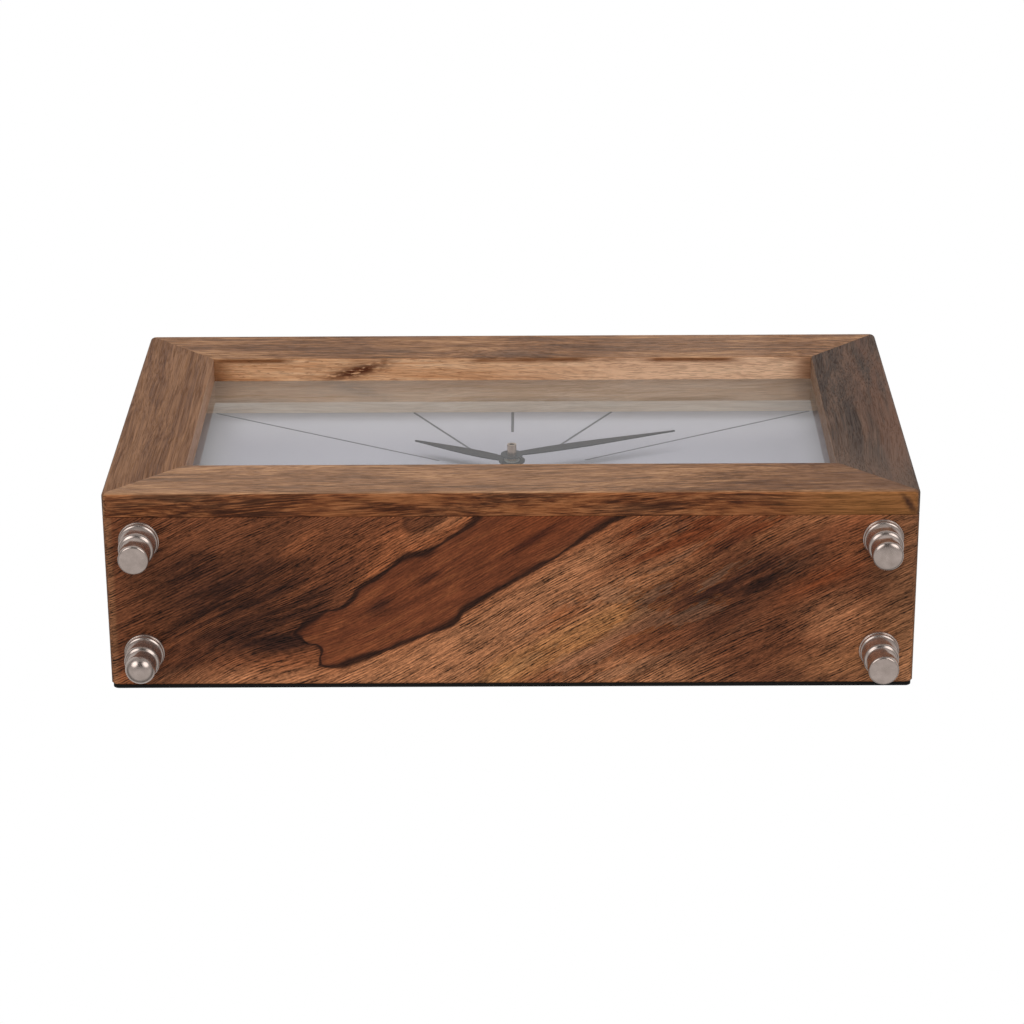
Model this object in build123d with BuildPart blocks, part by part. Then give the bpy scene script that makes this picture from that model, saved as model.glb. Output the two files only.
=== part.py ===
"""Table clock: a mitred wooden case on four turned feet, a glazed dial and a quartz movement behind it.

Millimetres. +Z is up and the dial faces -Y. The origin lies under the middle of the case, level with
the ends of the feet. Depths are measured backwards from the front of the frame, and inside the
movement from its front.
"""

from build123d import *
import os
from math import cos, radians, sin

# Case and front frame
CASE_WIDTH = 250.0
CASE_HEIGHT = 144.5
BOARD_DEPTH = 56.5
BOARD_THICKNESS = 9.0
FRAME_THICKNESS = 8.0
FRAME_BAR = 23.7
CORNER_RADIUS = 2.0
FRONT_EDGE_RADIUS = 1.3
SIGHT_EDGE_RADIUS = 0.6
BACK_EDGE_CHAMFER = 0.6
SEAM_CHAMFER = 0.25

# Glass, spacer strips and dial
GLASS_THICKNESS = 2.0
PANE_CLEARANCE = 0.3
SPACER_THICKNESS = 4.0
GLASS_TO_DIAL = 13.7
FACE_THICKNESS = 0.4
DIAL_BOARD_THICKNESS = 3.0
BLOCK_LEG = 16.0

# Back cover
BACK_THICKNESS = 1.2
BACK_INSET = 0.4
ACCESS_WIDTH = 112.0
ACCESS_HEIGHT = 84.0
ACCESS_CORNER = 5.0

# Turned feet
FOOT_LENGTH = 16.0
FOOT_FROM_SIDE = 11.0
FOOT_FROM_FRONT = 15.4
FOOT_FROM_BACK = 12.6
FLANGE_RADIUS = 6.3
FLANGE_HEIGHT = 2.7
COVE_HEIGHT = 3.7
GROOVE_RADIUS = 4.7
RING_RADIUS = 5.5
NECK_RADIUS = 3.9
TIP_RADIUS = 4.7
TIP_HEIGHT = 4.2
TIP_CHAMFER = 0.9
DOME_CHAMFER = 2.2

# Movement housing
MOVEMENT_WIDTH = 56.0
MOVEMENT_DEPTH = 15.5
ARBOR_TO_TOP = 24.0
ARBOR_TO_BOTTOM = 32.0
SHELL_WALL = 1.5
SHELL_CORNER = 2.0
BAY_WALL = 1.2
BAY_CLEARANCE = 0.7
PLATE_THICKNESS = 1.2
PLATE_CLEARANCE = 0.3
LEDGE_WIDTH = 2.0
BUSH_RADIUS = 3.9
BUSH_PROUD = 3.4
GASKET_WIDTH = 20.0
GASKET_THICKNESS = 1.0
NUT_FLATS = 12.0
NUT_THICKNESS = 2.2

# Toothed wheels: tooth numbers, modules in millimetres and bearings in degrees from three o'clock
CANNON_TEETH = 8
MOTION_TEETH = 24
MOTION_PINION_TEETH = 6
HOUR_TEETH = 24
SETTING_TEETH = 16
MOTION_MODULE = 0.5
MOTION_BEARING = 20.0
SETTING_BEARING = 30.0
PINION_TEETH = 6
CENTRE_TEETH = 48
THIRD_TEETH = 45
FOURTH_TEETH = 30
FIFTH_TEETH = 36
CENTRE_MODULE = 0.37
THIRD_MODULE = 0.33
FOURTH_MODULE = 0.4
FIFTH_MODULE = 0.33
THIRD_BEARING = 155.0
FOURTH_BEARING = 85.0
FIFTH_BEARING = 0.0
ROTOR_BEARING = 0.0
ADDENDUM = 0.8
DEDENDUM = 1.2

# Arbors, layers and running fits
WHEEL_THICKNESS = 1.0
LAYER_GAP = 0.4
END_PLAY = 0.3
ARBOR_RADIUS = 0.5
PIVOT_LENGTH = 1.0
RUNNING_CLEARANCE = 0.05
PRESS_CLEARANCE = 0.02
MINUTE_ARBOR_RADIUS = 1.5
HOUR_TUBE_WALL = 1.0
SETTING_ARBOR_RADIUS = 1.2
KNOB_RADIUS = 7.0
KNOB_HEIGHT = 4.0
KNOB_SERRATIONS = 24
KNOB_CLEARANCE = 0.4

# Motor and electronics
MAGNET_RADIUS = 3.0
MAGNET_LENGTH = 3.2
STATOR_THICKNESS = 1.0
STATOR_AIR_GAP = 0.5
STATOR_CHEEK = 4.4
STATOR_LEG = 3.0
COIL_FROM_ROTOR = 16.6
COIL_RADIUS = 2.2
BOBBIN_FLANGE = 0.8
BOBBIN_RADIUS = 2.4
CORE_CLEARANCE = 0.1
STATOR_DROP = 13.0
BOARD_WIDTH = 14.5
BOARD_HEIGHT = 8.5
BOARD_SHEET = 1.0
BOARD_CENTRE_X = 18.6
CHIP_WIDTH = 4.4
CHIP_HEIGHT = 0.9
CRYSTAL_RADIUS = 1.0
CRYSTAL_LENGTH = 6.0

# Battery and contacts
BATTERY_RADIUS = 7.25
BATTERY_LENGTH = 50.5
BATTERY_NUB_RADIUS = 2.75
BATTERY_NUB_LENGTH = 1.3
BATTERY_FLOOR_GAP = 0.3
CONTACT_SHEET = 0.4
CONTACT_WIDTH = 8.0
CONTACT_HEIGHT = 9.0
CONTACT_GAP = 0.1

# Hands
HOUR_HAND_LENGTH = 37.0
MINUTE_HAND_LENGTH = 58.0
HAND_THICKNESS = 0.4
HAND_ROOT_WIDTH = 2.2
HAND_BELLY_WIDTH = 4.5
HAND_TAPER_WIDTH = 2.8
HAND_POINT_WIDTH = 0.6
HOUR_BELLY_SHARE = 0.47
MINUTE_BELLY_SHARE = 0.35
HOUR_HAND_ANGLE = 299.6
MINUTE_HAND_ANGLE = 68.8
HOUR_HUB_RADIUS = 4.3
MINUTE_HUB_RADIUS = 3.65
HOUR_HAND_HEIGHT = 5.3
MINUTE_HAND_HEIGHT = 7.4
ARBOR_HEIGHT = 11.2
ARBOR_BORE_RADIUS = 0.8
ARBOR_BORE_DEPTH = 3.0
TUBE_PROUD = 0.2

# Depths behind the front of the frame
FRAME_BACK = FRAME_THICKNESS
GLASS_BACK = FRAME_BACK + GLASS_THICKNESS
DIAL_FRONT = GLASS_BACK + GLASS_TO_DIAL
BOARD_FRONT = DIAL_FRONT + FACE_THICKNESS
DIAL_BACK = BOARD_FRONT + DIAL_BOARD_THICKNESS
MOVEMENT_FRONT = DIAL_BACK + GASKET_THICKNESS
MOVEMENT_BACK = MOVEMENT_FRONT + MOVEMENT_DEPTH
CASE_BACK = FRAME_BACK + BOARD_DEPTH
DEPTH = CASE_BACK + BACK_THICKNESS
DIAL_Z = FOOT_LENGTH + CASE_HEIGHT / 2
INNER_WIDTH = CASE_WIDTH - 2 * BOARD_THICKNESS
INNER_HEIGHT = CASE_HEIGHT - 2 * BOARD_THICKNESS
PANE_WIDTH = INNER_WIDTH - 2 * PANE_CLEARANCE
PANE_HEIGHT = INNER_HEIGHT - 2 * PANE_CLEARANCE

# Depths inside the movement: the motion work lies before the train plate and the going train behind it
LAYER_STEP = WHEEL_THICKNESS + LAYER_GAP
HOUR_LAYER = SHELL_WALL + END_PLAY
CANNON_LAYER = HOUR_LAYER + LAYER_STEP
PLATE_FRONT = CANNON_LAYER + LAYER_STEP
PLATE_BACK = PLATE_FRONT + PLATE_THICKNESS
CENTRE_LAYER = PLATE_BACK + LAYER_GAP
THIRD_LAYER = CENTRE_LAYER + LAYER_STEP
FOURTH_LAYER = THIRD_LAYER + LAYER_STEP
FIFTH_LAYER = FOURTH_LAYER + LAYER_STEP
BACK_WALL = MOVEMENT_DEPTH - SHELL_WALL

# Bores that follow the shafts in them
HOUR_TUBE_BORE = MINUTE_ARBOR_RADIUS + RUNNING_CLEARANCE
HOUR_TUBE_RADIUS = HOUR_TUBE_BORE + HOUR_TUBE_WALL
BUSH_BORE = HOUR_TUBE_RADIUS + RUNNING_CLEARANCE
BUSH_HOLE = BUSH_RADIUS + PANE_CLEARANCE


def facing(depth, at=(0, 0), clockwise=None):
    """Plane at a depth, looking out of the dial: local x runs right and y up, from the dial's centre.

    Where an angle clockwise from twelve is given, local x runs that way instead.
    """
    along = (1, 0, 0)
    if clockwise is not None:
        along = (sin(radians(clockwise)), 0, cos(radians(clockwise)))
    return Plane((at[0], depth - DEPTH / 2, DIAL_Z + at[1]), x_dir=along, z_dir=(0, -1, 0))


def inside(depth, at=(0, 0)):
    """The same plane, at a depth inside the movement."""
    return facing(MOVEMENT_FRONT + depth, at)


def keep(name, piece):
    """Label a finished piece and write it."""
    piece.part.label = name
    export_step(piece.part, f"parts/{name}.step")


def slab(front, back, width, height):
    """Rectangular sheet between two depths, in the current part."""
    with BuildSketch(facing(back)) as outline:
        Rectangle(width, height)
    extrude(outline.sketch, amount=back - front)


def rod(front, back, radius, at=(0, 0), mode=Mode.ADD):
    """Round bar between two depths inside the movement, in the current part."""
    with BuildSketch(inside(back, at)) as outline:
        Circle(radius)
    extrude(outline.sketch, amount=back - front, mode=mode)


# Wood: each set of four members is cut from one softened ring along its mitres
def ring(front, back, width, height, bar, corner=0):
    """Rectangular ring between two depths, with its four upright corners rounded."""
    with BuildSketch(facing(back)) as outline:
        Rectangle(width, height)
        if corner:
            fillet(vertices(), corner)
        Rectangle(width - 2 * bar, height - 2 * bar, mode=Mode.SUBTRACT)
    extrude(outline.sketch, amount=back - front)


def front_face(part):
    return part.faces().sort_by(Axis.Y)[0]


def back_face(part):
    return part.faces().sort_by(Axis.Y)[-1]


def mitre_outlines():
    """The four wedges that meet along 45 degree lines from the corners of the case."""
    x = CASE_WIDTH / 2
    z = CASE_HEIGHT / 2
    end = x - z
    return {
        "top": [(-x, z), (-end, 0), (end, 0), (x, z)],
        "bottom": [(-x, -z), (x, -z), (end, 0), (-end, 0)],
        "left": [(-x, -z), (-end, 0), (-x, z)],
        "right": [(x, -z), (x, z), (end, 0)],
    }


def mitred(whole):
    """Cut a ring into its four members."""
    members = {}
    for side, outline in mitre_outlines().items():
        with BuildPart() as member:
            add(whole.part)
            with BuildSketch(facing(DEPTH)):
                Polygon(*outline)
            extrude(amount=DEPTH, mode=Mode.INTERSECT)
        members[side] = member
    return members


os.makedirs("parts", exist_ok=True)

with BuildPart() as frame_ring:
    ring(0, FRAME_BACK, CASE_WIDTH, CASE_HEIGHT, FRAME_BAR, CORNER_RADIUS)
    fillet(front_face(frame_ring).outer_wire().edges(), FRONT_EDGE_RADIUS)
    fillet(front_face(frame_ring).inner_wires().edges(), SIGHT_EDGE_RADIUS)
    chamfer(back_face(frame_ring).outer_wire().edges(), SEAM_CHAMFER)
for side, member in mitred(frame_ring).items():
    keep(f"frame_{side}", member)

with BuildPart() as case_ring:
    ring(FRAME_BACK, CASE_BACK, CASE_WIDTH, CASE_HEIGHT, BOARD_THICKNESS, CORNER_RADIUS)
    chamfer(front_face(case_ring).outer_wire().edges(), SEAM_CHAMFER)
    chamfer(back_face(case_ring).outer_wire().edges(), BACK_EDGE_CHAMFER)

for side, member in mitred(case_ring).items():
    keep(f"case_{side}", member)

with BuildPart() as spacer_ring:
    ring(GLASS_BACK, DIAL_FRONT, INNER_WIDTH, INNER_HEIGHT, SPACER_THICKNESS)
for side, member in mitred(spacer_ring).items():
    keep(f"spacer_{side}", member)

# Glass, dial and the glue blocks that hold them forward
with BuildPart() as glass_pane:
    slab(FRAME_BACK, GLASS_BACK, PANE_WIDTH, PANE_HEIGHT)
keep("glass_pane", glass_pane)

with BuildPart() as dial_face:
    slab(DIAL_FRONT, BOARD_FRONT, PANE_WIDTH, PANE_HEIGHT)
    with BuildSketch(facing(BOARD_FRONT)):
        Circle(BUSH_HOLE)
    extrude(amount=FACE_THICKNESS, mode=Mode.SUBTRACT)
keep("dial_face", dial_face)

with BuildPart() as dial_board:
    slab(BOARD_FRONT, DIAL_BACK, PANE_WIDTH, PANE_HEIGHT)
    with BuildSketch(facing(DIAL_BACK)):
        Circle(BUSH_HOLE)
    extrude(amount=DIAL_BOARD_THICKNESS, mode=Mode.SUBTRACT)
keep("dial_board", dial_board)

with BuildPart() as corner_blocks:
    with BuildSketch(facing(CASE_BACK)):
        for right in (-1, 1):
            for up in (-1, 1):
                x = right * INNER_WIDTH / 2
                z = up * INNER_HEIGHT / 2
                Polygon((x, z), (x - right * BLOCK_LEG, z), (x, z - up * BLOCK_LEG))
    extrude(amount=CASE_BACK - DIAL_BACK)
keep("corner_blocks", corner_blocks)

# Back cover with its hand hole
with BuildPart() as back_cover:
    with BuildSketch(facing(DEPTH)):
        Rectangle(CASE_WIDTH - 2 * BACK_INSET, CASE_HEIGHT - 2 * BACK_INSET)
        fillet(vertices(), CORNER_RADIUS)
        RectangleRounded(ACCESS_WIDTH, ACCESS_HEIGHT, ACCESS_CORNER, mode=Mode.SUBTRACT)
    extrude(amount=BACK_THICKNESS)
keep("back_cover", back_cover)


# Feet: turned with a flange, a cove, a ring over a flaring neck, and a tip
FOOT_X = CASE_WIDTH / 2 - FOOT_FROM_SIDE
FOOT_FRONT_Y = FOOT_FROM_FRONT - DEPTH / 2
FOOT_BACK_Y = DEPTH / 2 - FOOT_FROM_BACK


def turned_foot(place, end_chamfer=TIP_CHAMFER):
    """One foot in the current part, standing on its end."""
    cove_top = FOOT_LENGTH - FLANGE_HEIGHT
    ring_top = cove_top - COVE_HEIGHT
    with BuildSketch(Plane((*place, 0), x_dir=(1, 0, 0), z_dir=(0, -1, 0))) as half:
        Polygon(
            (0, 0),
            (TIP_RADIUS - end_chamfer, 0),
            (TIP_RADIUS, end_chamfer),
            (TIP_RADIUS, TIP_HEIGHT),
            (NECK_RADIUS, TIP_HEIGHT),
            (RING_RADIUS, ring_top),
            (GROOVE_RADIUS, ring_top),
            (FLANGE_RADIUS, cove_top),
            (FLANGE_RADIUS, FOOT_LENGTH),
            (0, FOOT_LENGTH),
        )
    revolve(half.sketch, axis=Axis((*place, 0), (0, 0, 1)))


with BuildPart() as front_feet:
    turned_foot((-FOOT_X, FOOT_FRONT_Y))
    turned_foot((FOOT_X, FOOT_FRONT_Y))
keep("front_feet", front_feet)

with BuildPart() as rear_feet:
    turned_foot((-FOOT_X, FOOT_BACK_Y), DOME_CHAMFER)
    turned_foot((FOOT_X, FOOT_BACK_Y))
keep("rear_feet", rear_feet)


# Toothed wheels
def polar(distance, bearing, start=(0, 0)):
    """Point at a distance and bearing from another, seen from the front."""
    return (
        start[0] + distance * cos(radians(bearing)),
        start[1] + distance * sin(radians(bearing)),
    )


def tooth_outline(teeth, module, phase=0):
    """Pointed teeth with one tooth's point at the phase angle."""
    pitch_radius = module * teeth / 2
    tip = pitch_radius + ADDENDUM * module
    root = pitch_radius - DEDENDUM * module
    corners = ((0, tip), (0.5, root))
    step = 360 / teeth
    return [
        polar(radius, phase + (tooth + share) * step)
        for tooth in range(teeth)
        for share, radius in corners
    ]


def spacing(module, teeth, other_teeth):
    """Distance between the centres of two wheels in mesh."""
    return module * (teeth + other_teeth) / 2


def in_mesh(phase, teeth, next_teeth, bearing):
    """Phase of the next wheel, at that bearing, that sets a gap of it opposite a tooth of this one."""
    past_tooth = (bearing - phase) * teeth / 360
    return bearing + 180 - (0.5 - past_tooth) * 360 / next_teeth


def toothed(layer, at, outline, thickness=WHEEL_THICKNESS):
    """One toothed disc in the current part, from the front of its layer backwards."""
    with BuildSketch(inside(layer + thickness, at)) as disc:
        Polygon(*outline)
    extrude(disc.sketch, amount=thickness)


def pivot_holes(front, back, places, radius):
    for at in places:
        rod(front, back, radius + RUNNING_CLEARANCE, at, mode=Mode.SUBTRACT)


# The hour wheel turns on the cannon pinion's axis, so its module makes both pairs equally far apart
HOUR_MODULE = MOTION_MODULE * (CANNON_TEETH + MOTION_TEETH) / (MOTION_PINION_TEETH + HOUR_TEETH)

# Places of the arbors, measured from the hands' axis
MOTION_AT = polar(spacing(MOTION_MODULE, CANNON_TEETH, MOTION_TEETH), MOTION_BEARING)
SETTING_AT = polar(spacing(MOTION_MODULE, MOTION_TEETH, SETTING_TEETH), SETTING_BEARING, MOTION_AT)
THIRD_AT = polar(spacing(CENTRE_MODULE, CENTRE_TEETH, PINION_TEETH), THIRD_BEARING)
FOURTH_AT = polar(spacing(THIRD_MODULE, THIRD_TEETH, PINION_TEETH), FOURTH_BEARING, THIRD_AT)
FIFTH_AT = polar(spacing(FOURTH_MODULE, FOURTH_TEETH, PINION_TEETH), FIFTH_BEARING, FOURTH_AT)
ROTOR_AT = polar(spacing(FIFTH_MODULE, FIFTH_TEETH, PINION_TEETH), ROTOR_BEARING, FIFTH_AT)
TRAIN_PLACES = [THIRD_AT, FOURTH_AT, FIFTH_AT, ROTOR_AT]

# Housing: two shells that part at the back of the train plate, with a battery bay along the bottom
HOUSING_HEIGHT = ARBOR_TO_TOP + ARBOR_TO_BOTTOM
HOUSING_MIDDLE = (0, (ARBOR_TO_TOP - ARBOR_TO_BOTTOM) / 2)
ROOM_WIDTH = MOVEMENT_WIDTH - 2 * SHELL_WALL
BAY_HEIGHT = 2 * (BATTERY_RADIUS + BAY_CLEARANCE)
BAY_BOTTOM = SHELL_WALL - ARBOR_TO_BOTTOM
BAY_TOP = BAY_BOTTOM + BAY_HEIGHT
BAY_MIDDLE = (0, (BAY_BOTTOM + BAY_TOP) / 2)
TRAIN_BOTTOM = BAY_TOP + BAY_WALL
TRAIN_TOP = ARBOR_TO_TOP - SHELL_WALL
TRAIN_HEIGHT = TRAIN_TOP - TRAIN_BOTTOM
TRAIN_MIDDLE = (0, (TRAIN_BOTTOM + TRAIN_TOP) / 2)


def shell_block(front, back):
    with BuildSketch(inside(back, HOUSING_MIDDLE)) as outline:
        Rectangle(MOVEMENT_WIDTH, HOUSING_HEIGHT)
        chamfer(vertices(), SHELL_CORNER)
    extrude(outline.sketch, amount=back - front)


def room(front, back, middle, height):
    """Hollow between two depths, as wide as the walls leave."""
    with BuildSketch(inside(back, middle)) as outline:
        Rectangle(ROOM_WIDTH, height)
    extrude(outline.sketch, amount=back - front, mode=Mode.SUBTRACT)


with BuildPart() as movement_front_shell:
    shell_block(0, PLATE_BACK)
    room(SHELL_WALL, PLATE_BACK, TRAIN_MIDDLE, TRAIN_HEIGHT)
    room(SHELL_WALL, PLATE_BACK, BAY_MIDDLE, BAY_HEIGHT)
    with BuildSketch(inside(PLATE_FRONT, TRAIN_MIDDLE)):
        with GridLocations(ROOM_WIDTH - LEDGE_WIDTH, 0, 2, 1):
            Rectangle(LEDGE_WIDTH, TRAIN_HEIGHT)
    extrude(amount=PLATE_FRONT - SHELL_WALL)
    rod(DIAL_FRONT - BUSH_PROUD - MOVEMENT_FRONT, 0, BUSH_RADIUS)
    rod(DIAL_FRONT - BUSH_PROUD - MOVEMENT_FRONT, SHELL_WALL, BUSH_BORE, mode=Mode.SUBTRACT)
    pivot_holes(SHELL_WALL - PIVOT_LENGTH, SHELL_WALL, [MOTION_AT], ARBOR_RADIUS)
    pivot_holes(SHELL_WALL - PIVOT_LENGTH, SHELL_WALL, [SETTING_AT], SETTING_ARBOR_RADIUS)
keep("movement_front_shell", movement_front_shell)

with BuildPart() as train_plate:
    with BuildSketch(inside(PLATE_BACK, TRAIN_MIDDLE)):
        Rectangle(ROOM_WIDTH - 2 * PLATE_CLEARANCE, TRAIN_HEIGHT - 2 * PLATE_CLEARANCE)
    extrude(amount=PLATE_THICKNESS)
    pivot_holes(PLATE_FRONT, PLATE_BACK, [MOTION_AT, *TRAIN_PLACES], ARBOR_RADIUS)
    pivot_holes(PLATE_FRONT, PLATE_BACK, [SETTING_AT], SETTING_ARBOR_RADIUS)
    pivot_holes(PLATE_FRONT, PLATE_BACK, [(0, 0)], MINUTE_ARBOR_RADIUS)
keep("train_plate", train_plate)

with BuildPart() as movement_back_shell:
    shell_block(PLATE_BACK, MOVEMENT_DEPTH)
    room(PLATE_BACK, BACK_WALL, TRAIN_MIDDLE, TRAIN_HEIGHT)
    room(PLATE_BACK, MOVEMENT_DEPTH, BAY_MIDDLE, BAY_HEIGHT)
    pivot_holes(BACK_WALL, BACK_WALL + PIVOT_LENGTH, TRAIN_PLACES, ARBOR_RADIUS)
    pivot_holes(BACK_WALL, MOVEMENT_DEPTH, [SETTING_AT], SETTING_ARBOR_RADIUS)
keep("movement_back_shell", movement_back_shell)

with BuildPart() as movement_gasket:
    with BuildSketch(inside(0)):
        Rectangle(GASKET_WIDTH, GASKET_WIDTH)
        Circle(BUSH_HOLE, mode=Mode.SUBTRACT)
    extrude(amount=GASKET_THICKNESS)
keep("movement_gasket", movement_gasket)

with BuildPart() as bush_nut:
    with BuildSketch(facing(DIAL_FRONT)):
        RegularPolygon(NUT_FLATS / 2, 6, major_radius=False)
        Circle(BUSH_RADIUS + RUNNING_CLEARANCE, mode=Mode.SUBTRACT)
    extrude(amount=NUT_THICKNESS)
keep("bush_nut", bush_nut)

# Motion work: cannon pinion on the minute arbor, motion wheel, hour wheel and the setting arbor
DIAL_LEVEL = DIAL_FRONT - MOVEMENT_FRONT
MINUTE_ARBOR_TIP = DIAL_LEVEL - ARBOR_HEIGHT
MINUTE_ARBOR_END = CENTRE_LAYER + LAYER_STEP
HOUR_TUBE_TIP = DIAL_LEVEL - HOUR_HAND_HEIGHT - HAND_THICKNESS - TUBE_PROUD

with BuildPart() as minute_arbor:
    rod(MINUTE_ARBOR_TIP, MINUTE_ARBOR_END, MINUTE_ARBOR_RADIUS)
    toothed(CANNON_LAYER, (0, 0), tooth_outline(CANNON_TEETH, MOTION_MODULE))
    rod(MINUTE_ARBOR_TIP, MINUTE_ARBOR_TIP + ARBOR_BORE_DEPTH, ARBOR_BORE_RADIUS, mode=Mode.SUBTRACT)
keep("minute_arbor", minute_arbor)

motion_phase = in_mesh(0, CANNON_TEETH, MOTION_TEETH, MOTION_BEARING)
with BuildPart() as motion_wheel:
    toothed(HOUR_LAYER, MOTION_AT, tooth_outline(MOTION_PINION_TEETH, HOUR_MODULE), LAYER_STEP)
    toothed(CANNON_LAYER, MOTION_AT, tooth_outline(MOTION_TEETH, MOTION_MODULE, motion_phase))
    rod(HOUR_LAYER - PIVOT_LENGTH, PLATE_BACK, ARBOR_RADIUS, MOTION_AT)
keep("motion_wheel", motion_wheel)

hour_phase = in_mesh(0, MOTION_PINION_TEETH, HOUR_TEETH, MOTION_BEARING + 180)
with BuildPart() as hour_wheel:
    toothed(HOUR_LAYER, (0, 0), tooth_outline(HOUR_TEETH, HOUR_MODULE, hour_phase))
    rod(HOUR_TUBE_TIP, HOUR_LAYER, HOUR_TUBE_RADIUS)
    rod(HOUR_TUBE_TIP, HOUR_LAYER + WHEEL_THICKNESS, HOUR_TUBE_BORE, mode=Mode.SUBTRACT)
keep("hour_wheel", hour_wheel)

KNOB_FRONT = MOVEMENT_DEPTH + KNOB_CLEARANCE
KNOB_BACK = KNOB_FRONT + KNOB_HEIGHT
KNOB_MODULE = 2 * KNOB_RADIUS / KNOB_SERRATIONS
setting_phase = in_mesh(motion_phase, MOTION_TEETH, SETTING_TEETH, SETTING_BEARING)
with BuildPart() as setting_arbor:
    toothed(CANNON_LAYER, SETTING_AT, tooth_outline(SETTING_TEETH, MOTION_MODULE, setting_phase))
    rod(HOUR_LAYER - PIVOT_LENGTH, KNOB_BACK - KNOB_HEIGHT / 2, SETTING_ARBOR_RADIUS, SETTING_AT)
keep("setting_arbor", setting_arbor)

with BuildPart() as setting_knob:
    toothed(KNOB_FRONT, SETTING_AT, tooth_outline(KNOB_SERRATIONS, KNOB_MODULE), KNOB_HEIGHT)
    bore = SETTING_ARBOR_RADIUS + PRESS_CLEARANCE
    rod(KNOB_FRONT, KNOB_BACK - KNOB_HEIGHT / 2, bore, SETTING_AT, mode=Mode.SUBTRACT)
keep("setting_knob", setting_knob)

# Going train: every wheel has its tooth at three o'clock, and the pinion that drives it is set to mesh
with BuildPart() as centre_wheel:
    toothed(CENTRE_LAYER, (0, 0), tooth_outline(CENTRE_TEETH, CENTRE_MODULE))
    layer_end = CENTRE_LAYER + WHEEL_THICKNESS
    rod(CENTRE_LAYER, layer_end, MINUTE_ARBOR_RADIUS + RUNNING_CLEARANCE, mode=Mode.SUBTRACT)
keep("centre_wheel", centre_wheel)


def train_wheel(at, wheel, pinion, pinion_layer, pinion_length):
    """Pinion, the wheel behind it and their arbor, which turns in the train plate and the back shell."""
    with BuildPart() as piece:
        toothed(pinion_layer, at, tooth_outline(*pinion), pinion_length)
        if wheel:
            toothed(pinion_layer + pinion_length, at, tooth_outline(*wheel))
        rod(PLATE_FRONT, BACK_WALL + PIVOT_LENGTH - RUNNING_CLEARANCE, ARBOR_RADIUS, at)
    return piece


def pinion_on(driven_teeth, module, bearing):
    """Tooth number, module and phase of the pinion that meshes with a driven wheel."""
    return PINION_TEETH, module, in_mesh(0, driven_teeth, PINION_TEETH, bearing)


third_pinion = pinion_on(CENTRE_TEETH, CENTRE_MODULE, THIRD_BEARING)
third_wheel = train_wheel(
    THIRD_AT, (THIRD_TEETH, THIRD_MODULE), third_pinion, CENTRE_LAYER, LAYER_STEP
)
keep("third_wheel", third_wheel)

fourth_pinion = pinion_on(THIRD_TEETH, THIRD_MODULE, FOURTH_BEARING)
fourth_wheel = train_wheel(
    FOURTH_AT, (FOURTH_TEETH, FOURTH_MODULE), fourth_pinion, THIRD_LAYER, LAYER_STEP
)
keep("fourth_wheel", fourth_wheel)

fifth_pinion = pinion_on(FOURTH_TEETH, FOURTH_MODULE, FIFTH_BEARING)
fifth_wheel = train_wheel(
    FIFTH_AT, (FIFTH_TEETH, FIFTH_MODULE), fifth_pinion, FOURTH_LAYER, LAYER_STEP
)
keep("fifth_wheel", fifth_wheel)

rotor_teeth = pinion_on(FIFTH_TEETH, FIFTH_MODULE, ROTOR_BEARING)
rotor_pinion = train_wheel(ROTOR_AT, None, rotor_teeth, FIFTH_LAYER, WHEEL_THICKNESS)
keep("rotor_pinion", rotor_pinion)

# Stepping motor: magnet on the rotor, a stator window round it and a coil on the window's far leg
STATOR_FRONT = THIRD_LAYER + LAYER_GAP / 2
STATOR_MIDDLE = STATOR_FRONT + STATOR_THICKNESS / 2
STATOR_BACK = STATOR_FRONT + STATOR_THICKNESS
STATOR_LEFT = ROTOR_AT[0] - STATOR_CHEEK
STATOR_RIGHT = ROTOR_AT[0] + COIL_FROM_ROTOR + STATOR_LEG / 2
STATOR_TOP = ROTOR_AT[1] + STATOR_CHEEK
STATOR_BOTTOM = ROTOR_AT[1] - STATOR_DROP
COIL_X = ROTOR_AT[0] + COIL_FROM_ROTOR
COIL_Z = (STATOR_TOP + STATOR_BOTTOM) / 2
COIL_LENGTH = STATOR_TOP - STATOR_BOTTOM - 2 * (STATOR_LEG + CORE_CLEARANCE)

with BuildPart() as rotor_magnet:
    rod(STATOR_MIDDLE - MAGNET_LENGTH / 2, STATOR_MIDDLE + MAGNET_LENGTH / 2, MAGNET_RADIUS, ROTOR_AT)
    rod(PLATE_BACK, BACK_WALL, ARBOR_RADIUS + PRESS_CLEARANCE, ROTOR_AT, mode=Mode.SUBTRACT)
keep("rotor_magnet", rotor_magnet)

with BuildPart() as stator_plate:
    with BuildSketch(inside(STATOR_BACK)):
        Polygon(
            (STATOR_LEFT, STATOR_TOP),
            (STATOR_LEFT, ROTOR_AT[1] - STATOR_CHEEK),
            (STATOR_LEFT + STATOR_LEG, STATOR_BOTTOM),
            (STATOR_RIGHT, STATOR_BOTTOM),
            (STATOR_RIGHT, STATOR_TOP),
        )
        Polygon(
            (ROTOR_AT[0] + STATOR_CHEEK, STATOR_TOP - STATOR_LEG),
            (ROTOR_AT[0] + STATOR_CHEEK, STATOR_BOTTOM + STATOR_LEG),
            (STATOR_RIGHT - STATOR_LEG, STATOR_BOTTOM + STATOR_LEG),
            (STATOR_RIGHT - STATOR_LEG, STATOR_TOP - STATOR_LEG),
            mode=Mode.SUBTRACT,
        )
        with Locations(ROTOR_AT):
            Circle(MAGNET_RADIUS + STATOR_AIR_GAP, mode=Mode.SUBTRACT)
    extrude(amount=STATOR_THICKNESS)
keep("stator_plate", stator_plate)

COIL_LEVEL = MOVEMENT_FRONT + STATOR_MIDDLE - DEPTH / 2
COIL_BOTTOM = Plane((COIL_X, COIL_LEVEL, DIAL_Z + COIL_Z - COIL_LENGTH / 2))

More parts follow.
